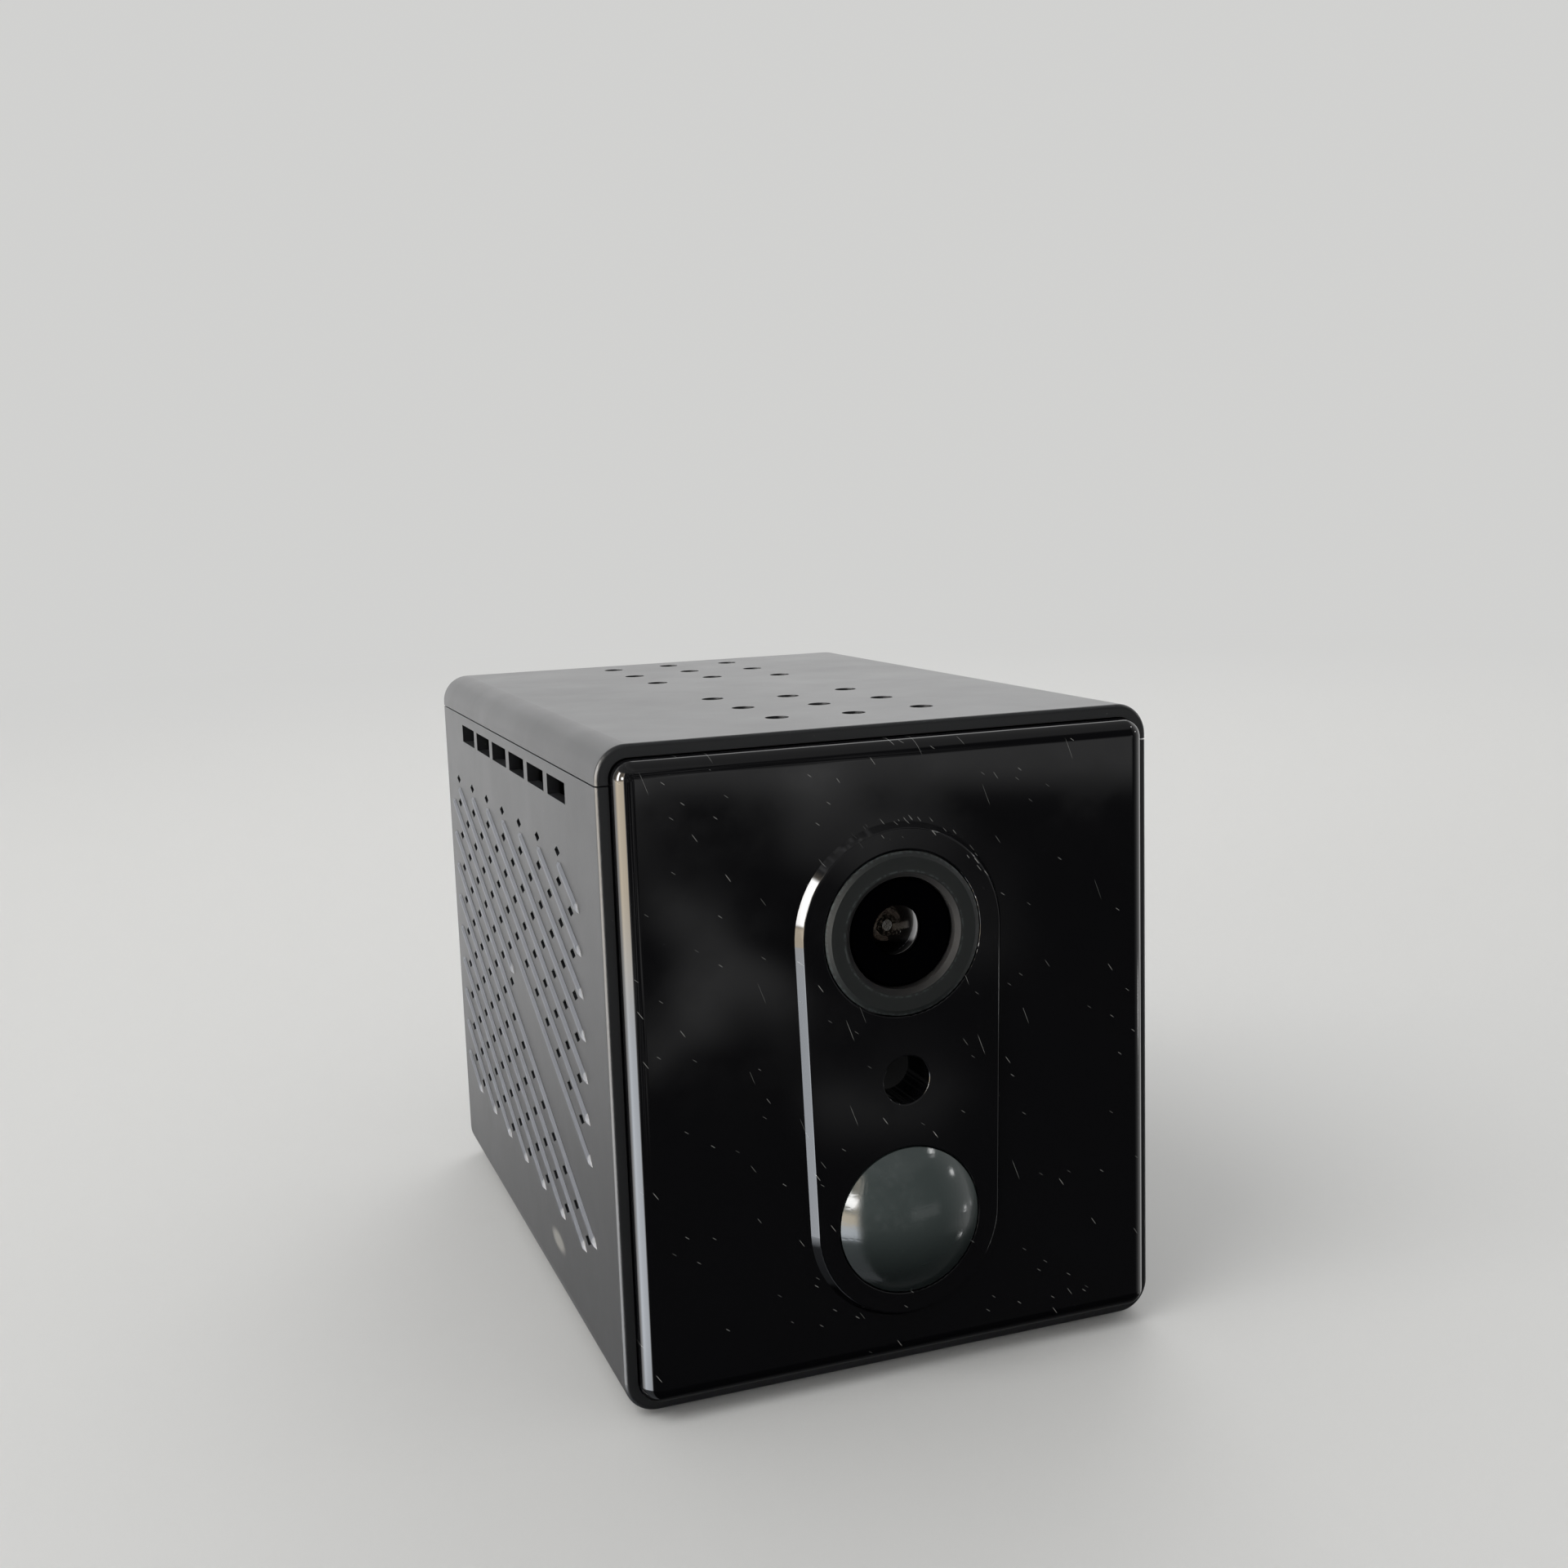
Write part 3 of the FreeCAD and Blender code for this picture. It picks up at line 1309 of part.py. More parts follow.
def antenna():
    """Flexible strip stuck to the inside of the right wall."""
    middle = less(inner_half, half("sizes.antenna_thick"))
    near, low = total(board_front, "sizes.antenna_start"), total(board_top, "sizes.antenna_lift")
    return block("antenna", middle, near, low, "sizes.antenna_thick", "sizes.antenna_length",
                 "sizes.antenna_height")


flex_high = total(board_top, "sizes.flex_lift")
flex_low = total(board_top, half("sizes.board_plug_height"))


def flex_connector():
    height = "sizes.flex_plug_height"
    near = total(camera_board_face, "sizes.board_thick")
    low = less(flex_high, half(total(height, "sizes.flex_thick")))
    return block("flex_connector", "0", near, low, "sizes.flex_plug_width", "sizes.flex_plug_depth", height)


def board_connector():
    return block("board_connector", "0", total(board_front, "sizes.board_plug_inset"), board_top,
                 "sizes.flex_plug_width", "sizes.board_plug_depth", "sizes.board_plug_height")


def flex_cable():
    """Flat cable from the camera board down to the main board."""
    body = body_of("flex_cable")
    strip = sketch_on(body, "flex_strip", "YZ_Plane", "0")
    thick = "sizes.flex_thick"
    start = total(camera_board_face, "sizes.board_thick", "sizes.flex_plug_depth")
    end = total(board_front, "sizes.board_plug_inset")
    bend = total(start, f"0.3 * {less(end, start)}")
    drop = total(start, f"0.6 * {less(end, start)}")
    outline(strip, [
        (start, flex_high),
        (bend, flex_high),
        (drop, flex_low),
        (end, flex_low),
        (end, less(flex_low, thick)),
        (less(drop, f"0.75 * {thick}"), less(flex_low, thick)),
        (less(bend, f"0.75 * {thick}"), less(flex_high, thick)),
        (start, less(flex_high, thick)),
    ])
    feature = body.newObject("PartDesign::Pad", "flex_strip_pad")
    feature.Profile = strip
    feature.setExpression("Length", "sizes.flex_width")
    feature.Midplane = True
    grown(body, feature, 1)
    return body


def battery_connector():
    near = total(board_front, "sizes.board_plug_inset")
    return block("battery_connector", "sizes.battery_plug_x", near, board_top, "sizes.battery_plug_width",
                 "sizes.battery_plug_depth", "sizes.battery_plug_height")


def usb_socket():
    """Upright metal shell with its tongue, open to the back."""
    body = body_of("usb_socket")
    mouth = less(back, "sizes.usb_recess")
    near = less(mouth, "sizes.usb_length")
    height = "sizes.usb_height"
    shell = sketch_on(body, "usb_shell", "XZ_Plane", near)
    rounded_rectangle(shell, "0", board_top, "sizes.usb_width", height, less(half(height), "sizes.usb_flat"))
    pad(body, shell, "sizes.usb_length", reverse=True)
    hollow = sketch_on(body, "usb_hollow", "XZ_Plane", mouth)
    inner = less(height, "2 * sizes.usb_wall")
    wide = less("sizes.usb_width", "2 * sizes.usb_wall")
    inner_low = total(board_top, "sizes.usb_wall")
    rounded_rectangle(hollow, "0", inner_low, wide, inner, less(half(inner), "sizes.usb_flat"))
    pocket(body, hollow, less("sizes.usb_length", "sizes.usb_end"), reverse=True)
    tongue = sketch_on(body, "usb_tongue", "XZ_Plane", total(near, "sizes.usb_end"))
    tongue_low = total(board_top, half(less(height, "sizes.tongue_thick")))
    rectangle(tongue, "0", tongue_low, "sizes.tongue_width", "sizes.tongue_thick")
    pad(body, tongue, less("sizes.usb_length", "sizes.usb_end", "sizes.tongue_setback"), reverse=True)
    return body


def card_socket():
    """Flat metal cage that the memory card slides into from the back."""
    wall, gap = "sizes.socket_wall", "sizes.card_gap"
    far = less(cover_face, "sizes.cage_setback")
    card_near = less(back, "sizes.card_recess", "sizes.card_length")
    near = less(card_near, "sizes.card_stop", wall)
    width = total("sizes.card_width", f"2 * {gap}", f"2 * {wall}")
    height = total("sizes.card_thick", f"2 * {gap}", f"2 * {wall}")
    cage = block("cage", card_x, near, board_top, width, less(far, near), height)
    hollow = block("cage_hollow", card_x, total(near, wall), total(board_top, wall),
                   less(width, f"2 * {wall}"), "sizes.card_length", less(height, f"2 * {wall}"))
    return cut("card_socket", cage, [hollow])


def memory_card():
    near = less(back, "sizes.card_recess", "sizes.card_length")
    return block("memory_card", card_x, near, card_z, "sizes.card_width", "sizes.card_length",
                 "sizes.card_thick")


# Buttons

stem_end = less(flange_face, "sizes.button_stem")
switch_face = less(stem_end, "sizes.plunger_show")


def button(label, across, radius):
    """Cap in the rear cover, with a flange behind the cover and a stem to the switch."""
    cap_near = less(cover_face, "sizes.button_gap")
    cap_length = less(back, cap_near, "sizes.button_recess")
    cap = rod(label + "_cap", across, cap_near, button_z, radius, cap_length)
    flange_radius = total(radius, "sizes.button_flange")
    flange = rod(label + "_flange", across, flange_face, button_z, flange_radius, "sizes.button_flange")
    thick = total("sizes.plunger_radius", "sizes.fit_gap")
    stem = rod(label + "_stem", across, stem_end, button_z, thick, "sizes.button_stem")
    return joined(label, [cap, flange, stem])


def plunger(label, across):
    near = less(switch_face, "sizes.plunger_bury")
    return rod(label, across, near, button_z, "sizes.plunger_radius", less(stem_end, near))


def button_switches():
    """Two side-pressed switches on the main board."""
    cases = []
    for number, across in enumerate((power_x, reset_x), start=1):
        case = block(f"switch_case{number}", across, less(switch_face, "sizes.switch_depth"), board_top,
                     "sizes.switch_width", "sizes.switch_depth", "sizes.switch_height")
        depth = total("sizes.plunger_bury", "2 * sizes.button_travel")
        bore = rod(f"switch_bore{number}", across, less(switch_face, depth), button_z,
                   total("sizes.plunger_radius", "sizes.fit_gap"), total(depth, "sizes.past"))
        cases.append(cut(f"switch{number}", case, [bore]))
    return group("button_switches", cases)


# Battery, sound and base


def cell(name, low):
    """Soft-edged battery pouch."""
    body = body_of(name)
    slab = sketch_on(body, name + "_slab", "XY_Plane", low)
    rectangle(slab, "0", battery_y, "sizes.battery_width", "sizes.battery_length")
    solid = pad(body, slab, "sizes.battery_thick")
    side = value(half("sizes.battery_width"))

    def long_edge(edge):
        runs_back = edge.BoundBox.YLength > value("sizes.battery_thick")
        return runs_back and (lies_at(edge, "X", side) or lies_at(edge, "X", -side))

    round_edges(body, solid, name + "_round", "sizes.battery_round", long_edge)
    return body


def battery_cells():
    upper = total(battery_z, "sizes.battery_thick", "sizes.battery_tape_thick")
    return group("battery_cells", [cell("lower_cell", battery_z), cell("upper_cell", upper)])


def battery_tape():
    low = total(battery_z, "sizes.battery_thick")
    width, length = "0.7 * sizes.battery_width", "sizes.battery_length"
    return block("battery_tape", "0", battery_y, low, width, length, "sizes.battery_tape_thick")


speaker_y = total(front, "sizes.vent_rear_middle", "sizes.vent_middle_pitch")
microphone_y = total(front, "sizes.vent_front_middle", "sizes.vent_middle_pitch")


def speaker():
    """Round speaker that faces up: basket, magnet and a shallow cone."""
    across, radius, thick = "sizes.vent_offset", "sizes.speaker_radius", "sizes.speaker_thick"
    high = less(ceiling, "sizes.gasket_thick")
    basket = disc("speaker_basket", across, speaker_y, less(high, half(thick)), radius, half(thick))
    magnet = disc("speaker_magnet", across, speaker_y, less(high, thick), f"0.7 * {radius}", half(thick))
    cone = less(radius, "sizes.gasket_width")
    cone_tall = total("sizes.cone_depth", "sizes.past")
    dish = disc("speaker_dish", across, speaker_y, less(high, "sizes.cone_depth"), cone, cone_tall)
    return cut("speaker", joined("speaker_solid", [basket, magnet]), [dish])


def ring_piece(label, across, depth, low, outer, inner, height):
    solid = disc(label + "_outer", across, depth, low, outer, height)
    through = total(height, "2 * sizes.past")
    bore = disc(label + "_inner", across, depth, less(low, "sizes.past"), inner, through)
    return cut(label, solid, [bore])


def speaker_gasket():
    return ring_piece("speaker_gasket", "sizes.vent_offset", speaker_y, less(ceiling, "sizes.gasket_thick"),
                      "sizes.speaker_radius", less("sizes.speaker_radius", "sizes.gasket_width"),
                      "sizes.gasket_thick")


def microphone():
    thick = "sizes.microphone_thick"
    low = less(ceiling, "sizes.microphone_recess", thick)
    return disc("microphone", "sizes.vent_offset", microphone_y, low, "sizes.microphone_radius", thick)


def microphone_boot():
    height = total("sizes.microphone_thick", "sizes.microphone_recess")
    return ring_piece("microphone_boot", "sizes.vent_offset", microphone_y, less(ceiling, height),
                      total("sizes.microphone_radius", "sizes.boot_wall"),
                      total("sizes.microphone_radius", "sizes.press_gap"), height)


def rubber_feet():
    height = total("sizes.foot_height", "sizes.foot_recess")
    return group("rubber_feet", [disc(f"foot{number}", across, depth, "0", "sizes.foot_radius", height)
                                 for number, (across, depth) in enumerate(foot_points(), start=1)])


def tripod_insert():
    """Brass insert with a threaded bore, open at the base."""
    solid = disc("insert_solid", "0", tripod_y, base, "sizes.tripod_radius", "sizes.tripod_length")
    through = total("sizes.tripod_length", "2 * sizes.past")
    bore = disc("insert_bore", "0", tripod_y, less(base, "sizes.past"), "sizes.tripod_bore", through)
    waist_low = total(base, half(less("sizes.tripod_length", "sizes.waist_height")))
    waist = ring_piece("insert_waist", "0", tripod_y, waist_low, total("sizes.tripod_radius", "sizes.past"),
                       less("sizes.tripod_radius", "sizes.waist_depth"), "sizes.waist_height")
    return cut("tripod_insert", solid, [bore, waist])


pieces = {
    "body_tub": body_tub(),
    "top_cover": top_cover(),
    "rear_cover": rear_cover(),
    "front_panel": front_panel(),
    "panel_tape": panel_tape(),
    "front_frame": front_frame(),
    "lens_ring": lens_ring(),
    "lens_barrel": lens_barrel(),
    "front_glass": front_glass(),
    "inner_lens": inner_lens(),
    "lens_holder": lens_holder(),
    "filter_glass": filter_glass(),
    "image_sensor": image_sensor(),
    "camera_board": camera_board(),
    "microphone_connector": microphone_connector(),
    "sensor_board": sensor_board(),
    "pir_lens": pir_lens(),
    "pir_can": pir_can(),
    "sensor_window": sensor_window(),
    "light_sensor": light_sensor(),
    "infrared_leds": infrared_leds(),
    "status_led": status_led(),
    "frame_screws": corner_screws("frame_screws", frame_face, 1),
    "cover_screws": corner_screws("cover_screws", less(back, "sizes.head_thick"), -1),
    "front_board_screws": front_board_screws(),
    "main_board_screws": main_board_screws(),
    "main_board": main_board(),
    "main_chip": main_chip(),
    "heat_pad": heat_pad(),
    "heat_sink": heat_sink(),
    "memory_chips": memory_chips(),
    "wifi_module": wifi_module(),
    "antenna": antenna(),
    "flex_connector": flex_connector(),
    "board_connector": board_connector(),
    "flex_cable": flex_cable(),
    "battery_connector": battery_connector(),
    "usb_socket": usb_socket(),
    "card_socket": card_socket(),
    "memory_card": memory_card(),
    "power_button": button("power_button", power_x, "sizes.power_radius"),
    "power_plunger": plunger("power_plunger", power_x),
    "reset_button": button("reset_button", reset_x, "sizes.reset_radius"),
    "reset_plunger": plunger("reset_plunger", reset_x),
    "button_switches": button_switches(),
    "battery_cells": battery_cells(),
    "battery_tape": battery_tape(),
    "speaker": speaker(),
    "speaker_gasket": speaker_gasket(),
    "microphone": microphone(),
    "microphone_boot": microphone_boot(),
    "rubber_feet": rubber_feet(),
    "tripod_insert": tripod_insert(),
}
doc.recompute()

for item in doc.Objects:
    if "Invalid" in item.State or "Error" in item.State:
        raise RuntimeError(f"{item.Label} failed: {item.State}")
for label, item in pieces.items():
    item.Label = label
    if item.Shape.isNull() or not item.Shape.isValid() or not item.Shape.Solids:
        raise RuntimeError(f"{label} has no valid solid")

os.makedirs("parts", exist_ok=True)
for label, item in pieces.items():
    item.Shape.exportStep(f"parts/{label}.step")
    bounds = item.Shape.BoundBox
    print(f"{label}: {len(item.Shape.Solids)} solids, {item.Shape.Volume:.1f} mm3, "
          f"Y {bounds.YMin:.2f} to {bounds.YMax:.2f}, Z {bounds.ZMin:.2f} to {bounds.ZMax:.2f}")
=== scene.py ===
# Battery security camera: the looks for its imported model. Lengths are in metres.
import math

import bmesh
import bpy
from mathutils import Matrix, Vector


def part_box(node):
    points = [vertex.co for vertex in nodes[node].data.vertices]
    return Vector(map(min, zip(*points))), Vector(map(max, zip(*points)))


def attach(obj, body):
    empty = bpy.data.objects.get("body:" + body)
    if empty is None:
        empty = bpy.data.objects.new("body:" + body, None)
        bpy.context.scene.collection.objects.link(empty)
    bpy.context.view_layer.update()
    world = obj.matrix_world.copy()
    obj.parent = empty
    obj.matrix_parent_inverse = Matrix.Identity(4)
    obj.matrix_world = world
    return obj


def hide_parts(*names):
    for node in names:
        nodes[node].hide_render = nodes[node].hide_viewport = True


mm = 0.001

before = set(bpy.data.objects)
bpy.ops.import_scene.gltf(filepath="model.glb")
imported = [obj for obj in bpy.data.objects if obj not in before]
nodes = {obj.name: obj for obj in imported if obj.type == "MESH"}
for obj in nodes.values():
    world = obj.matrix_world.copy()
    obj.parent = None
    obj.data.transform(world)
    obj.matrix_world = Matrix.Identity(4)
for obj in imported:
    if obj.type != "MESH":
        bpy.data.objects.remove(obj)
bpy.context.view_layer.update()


def linear(hexText):
    # sRGB hex to linear red, green, blue and full alpha
    parts = [int(hexText[i:i + 2], 16) / 255 for i in (1, 3, 5)]
    return tuple(c / 12.92 if c <= 0.04045 else ((c + 0.055) / 1.055) ** 2.4 for c in parts) + (1.0,)


def add(tree, kind, settings=None, links=None):
    # one node: settings by socket name, socket number or property, then its incoming links
    node = tree.nodes.new(kind)
    for name, value in (settings or {}).items():
        if isinstance(name, int) or name in node.inputs:
            node.inputs[name].default_value = value
        else:
            setattr(node, name, value)
    for name, socket in (links or {}).items():
        tree.links.new(socket, node.inputs[name])
    return node


def newMaterial(name):
    material = bpy.data.materials.new(name)
    material.use_nodes = True
    material.node_tree.nodes.clear()
    return material, material.node_tree


def dress(material, *names):
    # gives CAD nodes their finish
    for name in names:
        mesh = nodes[name].data
        if not mesh.materials:
            mesh.materials.append(material)
        for i in range(len(mesh.materials)):
            mesh.materials[i] = material


def setStops(ramp, stops):
    # stops of a colour ramp as (place, grey)
    row = ramp.color_ramp.elements
    while len(row) < len(stops):
        row.new(1.0)
    for element, (place, grey) in zip(row, stops):
        element.position = place
        element.color = (grey, grey, grey, 1.0)


def mask(tree, edges, shares=()):
    # an edge is (value, start, end): 0 at the start, softly up to 1 at the end; all are multiplied
    parts = list(shares)
    for value, start, end in edges:
        settings = {"interpolation_type": "SMOOTHSTEP", "From Min": start, "From Max": end}
        parts.append(add(tree, "ShaderNodeMapRange", settings, {"Value": value}).outputs[0])
    whole = parts[0]
    for part in parts[1:]:
        whole = add(tree, "ShaderNodeMath", {"operation": "MULTIPLY"}, {0: whole, 1: part}).outputs[0]
    return whole


# what most finishes share, where their own dictionary says nothing else
usual = {
    "metallic": 0.0,
    "cloudWidth": 3.3 * mm,
    "cloudTone": 0.8,
    "glossiest": 0.85,
    "dullest": 1.15,
    "grainStrength": 0.5,
}


def grained(look):
    # a finish with cloudy tone and gloss and a fine grain, from one material's dictionary
    look = {**usual, **look}
    material, tree = newMaterial(look["name"])
    place = add(tree, "ShaderNodeTexCoord").outputs["Object"]
    fine = {"Scale": 1 / look["grainWidth"], "Detail": 2.0}
    broad = {"Scale": 1 / look["cloudWidth"], "Detail": 3.0}
    grain = add(tree, "ShaderNodeTexNoise", fine, {"Vector": place})
    cloud = add(tree, "ShaderNodeTexNoise", broad, {"Vector": place})
    base = linear(look["colour"])
    worn = tuple(c * look["cloudTone"] for c in base[:3]) + (1.0,)
    tone = add(
        tree,
        "ShaderNodeMix",
        {"data_type": "RGBA", "A": worn, "B": base},
        {"Factor": cloud.outputs["Fac"]},
    )
    glossy = look["roughness"] * look["glossiest"]
    dull = min(1.0, look["roughness"] * look["dullest"])
    soft = add(
        tree,
        "ShaderNodeMapRange",
        {"To Min": glossy, "To Max": dull},
        {"Value": cloud.outputs["Fac"]},
    )
    bump = add(
        tree,
        "ShaderNodeBump",
        {"Strength": look["grainStrength"], "Distance": look["grainDepth"]},
        {"Height": grain.outputs["Fac"]},
    )
    settings = {"Metallic": look["metallic"]}
    if "index" in look:
        settings["IOR"] = look["index"]
    shader = add(
        tree,
        "ShaderNodeBsdfPrincipled",
        settings,
        {
            "Base Color": tone.outputs["Result"],
            "Roughness": soft.outputs[0],
            "Normal": bump.outputs["Normal"],
        },
    )
    add(tree, "ShaderNodeOutputMaterial", links={"Surface": shader.outputs[0]})
    return material


def meshPiece(name, points, faces, material, smooth=True):
    # an added piece from its own points and faces, carried by the casing
    mesh = bpy.data.meshes.new(name)
    mesh.from_pydata(points, [], faces)
    mesh.validate()
    for face in mesh.polygons:
        face.use_smooth = smooth
    mesh.materials.append(material)
    piece = bpy.data.objects.new(name, mesh)
    bpy.context.scene.collection.objects.link(piece)
    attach(piece, "root")
    return piece


def turned(profile, segments, place):
    # points and faces of a turned shape: profile rows are (radius, length along the axis)
    step = 2 * math.pi / segments
    points = [place(radius, step * i, along) for radius, along in profile for i in range(segments)]
    faces = []
    for row in range(len(profile) - 1):
        for i in range(segments):
            j = (i + 1) % segments
            low, high = row * segments, (row + 1) * segments
            faces.append((low + i, low + j, high + j, high + i))
    return points, faces


# casing: the tub, the lid and the rear cover
casing = {
    "name": "moulded ABS, spark-eroded",
    "colour": "#1b1c1e",
    # the ribs' lighter bluish colour is a painted sheen
    "ribSheenColour": "#64676e",
    "dust": "#6c6b66",
    "smudge": "#85847f",
    "glossiest": 0.3,
    "dullest": 0.41,
    "ribRoughness": 0.42,
    "index": 1.54,
    "grainWidth": 0.22 * mm,
    "grainDepth": 0.009 * mm,
    "grainStrength": 0.6,
    "cloudWidth": 9 * mm,
    "ribStart": 25.06 * mm,
    "dustSpacing": 1.6 * mm,
    "dustRim": 0.05,  # in shares of the spacing
    "dustCore": 0.02,
    "dustShare": 0.45,
    "smudgePlace": (0.0, -9.0 * mm, 7.0 * mm),
    "smudgeLong": 3.2 * mm,
    "smudgeTall": 1.1 * mm,
    "smudgeSoft": (1.0, 0.4),
    "smudgeSide": (-24.5 * mm, -24.9 * mm),
}

# moulded ABS from a spark-eroded tool: black, with a fine even grain that turns grey at a low angle; the
# ribs carry a painted sheen, a lighter bluish colour
casingPlastic, tree = newMaterial(casing["name"])
place = add(tree, "ShaderNodeTexCoord").outputs["Object"]
split = add(tree, "ShaderNodeSeparateXYZ", links={0: place})
outward = add(tree, "ShaderNodeMath", {"operation": "ABSOLUTE"}, {0: split.outputs["X"]})
onRib = add(
    tree,
    "ShaderNodeMath",
    {"operation": "GREATER_THAN", 1: casing["ribStart"]},
    {0: outward.outputs[0]},
)
cloud = add(
    tree,
    "ShaderNodeTexNoise",
    {"Scale": 1 / casing["cloudWidth"], "Detail": 3.0, "Roughness": 0.55},
    {"Vector": place},
)
grain = add(
    tree,
    "ShaderNodeTexNoise",
    {"Scale": 1 / casing["grainWidth"], "Detail": 2.0, "Roughness": 0.6},
    {"Vector": place},
)
speck = add(tree, "ShaderNodeTexVoronoi", {"Scale": 1 / casing["dustSpacing"]}, {"Vector": place})
speckShare = add(
    tree,
    "ShaderNodeMapRange",
    {"From Min": casing["dustRim"], "From Max": casing["dustCore"], "To Max": casing["dustShare"]},
    {"Value": speck.outputs["Distance"]},
)
# a pale rubbed patch, low on the left side near the front
fromPatch = add(
    tree,
    "ShaderNodeVectorMath",
    {"operation": "SUBTRACT", 1: casing["smudgePlace"]},
    {0: place},
)
patchPlace = add(
    tree,
    "ShaderNodeVectorMath",
    {"operation": "MULTIPLY", 1: (0.0, 1 / casing["smudgeLong"], 1 / casing["smudgeTall"])},
    {0: fromPatch.outputs[0]},
)
patchReach = add(tree, "ShaderNodeVectorMath", {"operation": "LENGTH"}, {0: patchPlace.outputs[0]})
patch = mask(
    tree,
    [
        (patchReach.outputs["Value"], *casing["smudgeSoft"]),
        (split.outputs["X"], *casing["smudgeSide"]),
    ],
)
# painted sheen: the ribs are coloured lighter and bluish than the rest of the casing
tone = add(
    tree,
    "ShaderNodeMix",
    {"data_type": "RGBA", "A": linear(casing["colour"]), "B": linear(casing["ribSheenColour"])},
    {"Factor": onRib.outputs[0]},
)
rubbed = add(
    tree,
    "ShaderNodeMix",
    {"data_type": "RGBA", "B": linear(casing["smudge"])},
    {"Factor": patch, "A": tone.outputs["Result"]},
)
dusty = add(
    tree,
    "ShaderNodeMix",
    {"data_type": "RGBA", "B": linear(casing["dust"])},
    {"Factor": speckShare.outputs[0], "A": rubbed.outputs["Result"]},
)
soft = add(
    tree,
    "ShaderNodeMapRange",
    {"To Min": casing["glossiest"], "To Max": casing["dullest"]},
    {"Value": cloud.outputs["Fac"]},
)
polish = add(
    tree,
    "ShaderNodeMix",
    {"data_type": "FLOAT", "B": casing["ribRoughness"]},
    {"Factor": onRib.outputs[0], "A": soft.outputs[0]},
)
bump = add(
    tree,
    "ShaderNodeBump",
    {"Strength": casing["grainStrength"], "Distance": casing["grainDepth"]},
    {"Height": grain.outputs["Fac"]},
)
shader = add(
    tree,
    "ShaderNodeBsdfPrincipled",
    {"IOR": casing["index"]},
    {
        "Base Color": dusty.outputs["Result"],
        "Roughness": polish.outputs["Result"],
        "Normal": bump.outputs["Normal"],
    },
)
add(tree, "ShaderNodeOutputMaterial", links={"Surface": shader.outputs[0]})
dress(casingPlastic, "body_tub", "top_cover", "rear_cover")
print("casing dressed")

# front panel, with scratches in three sizes
panel = {
    "name": "polished black acrylic",
    "colour": "#08080a",
    "scratchAndGlint": "#a9aaa6",
    "roughness": 0.045,
    "hazyRoughness": 0.12,
    "hazeWidth": 9 * mm,
    "hazePatches": (0.45, 0.75),
    "index": 1.49,
    "faintest": 0.25,
    "lensZ": 39.6 * mm,
    # painted highlight on the raised edge's upper right, drawn as pale dashes
    "glintInner": (8.0 * mm, 8.5 * mm),  # distances from the lens axis
    "glintOuter": (10.0 * mm, 9.6 * mm),
    "glintRight": (-5 * mm, 1 * mm),
    "glintUpper": (2 * mm, 5 * mm),
    "edgeGlint": {"angle": 52, "length": 0.8 * mm, "width": 0.036 * mm, "spacing": 0.75 * mm, "share": 0.4},
    "scratches": [
        {"angle": 56, "length": 0.9 * mm, "width": 0.028 * mm, "spacing": 4.3 * mm, "share": 0.3},
        {"angle": 38, "length": 0.5 * mm, "width": 0.022 * mm, "spacing": 2.6 * mm, "share": 0.25},
        {"angle": 70, "length": 2.2 * mm, "width": 0.014 * mm, "spacing": 6.5 * mm, "share": 0.22},
    ],
}


def aroundLens(tree, place):
    # the offset from the lens axis across the front, and its length
    fromLens = add(
        tree,
        "ShaderNodeVectorMath",
        {"operation": "SUBTRACT", 1: (0.0, 0.0, panel["lensZ"])},
        {0: place},
    )
    level = add(
        tree,
        "ShaderNodeVectorMath",
        {"operation": "MULTIPLY", 1: (1.0, 0.0, 1.0)},
        {0: fromLens.outputs[0]},
    )
    reach = add(tree, "ShaderNodeVectorMath", {"operation": "LENGTH"}, {0: level.outputs[0]})
    return level.outputs[0], reach.outputs["Value"]


def dashes(tree, place, look):
    # short straight marks scattered over the front plane, one to a cell, some cells left bare
    lean = add(
        tree,
        "ShaderNodeMapping",
        {"vector_type": "TEXTURE", "Rotation": (0.0, math.radians(look["angle"]), 0.0)},
        {"Vector": place},
    )
    flat = add(
        tree,
        "ShaderNodeVectorMath",
        {"operation": "MULTIPLY", 1: (1.0, 0.0, 1.0)},
        {0: lean.outputs[0]},
    )
    cells = add(tree, "ShaderNodeTexVoronoi", {"Scale": 1 / look["spacing"]}, {"Vector": flat.outputs[0]})
    offset = add(
        tree,
        "ShaderNodeVectorMath",
        {"operation": "SUBTRACT"},
        {0: flat.outputs[0], 1: cells.outputs["Position"]},
    )
    parts = add(tree, "ShaderNodeSeparateXYZ", links={0: offset.outputs[0]})
    along = add(tree, "ShaderNodeMath", {"operation": "ABSOLUTE"}, {0: parts.outputs["X"]})
    across = add(tree, "ShaderNodeMath", {"operation": "ABSOLUTE"}, {0: parts.outputs["Z"]})
    chance = add(tree, "ShaderNodeSeparateColor", links={0: cells.outputs["Color"]})
    kept = add(
        tree,
        "ShaderNodeMath",
        {"operation": "LESS_THAN", 1: look["share"]},
        {0: chance.outputs["Red"]},
    )
    faint = add(
        tree,
        "ShaderNodeMapRange",
        {"To Min": panel["faintest"]},
        {"Value": chance.outputs["Green"]},
    )
    ends = [
        (along.outputs[0], look["length"] / 2, look["length"] / 4),
        (across.outputs[0], look["width"], look["width"] / 3),
    ]
    return mask(tree, ends, [kept.outputs[0], faint.outputs[0]])


# polished black acrylic: a deep mirror, with short hair scratches, and a painted highlight of short pale
# dashes on its raised edge
panelGloss, tree = newMaterial(panel["name"])
place = add(tree, "ShaderNodeTexCoord").outputs["Object"]
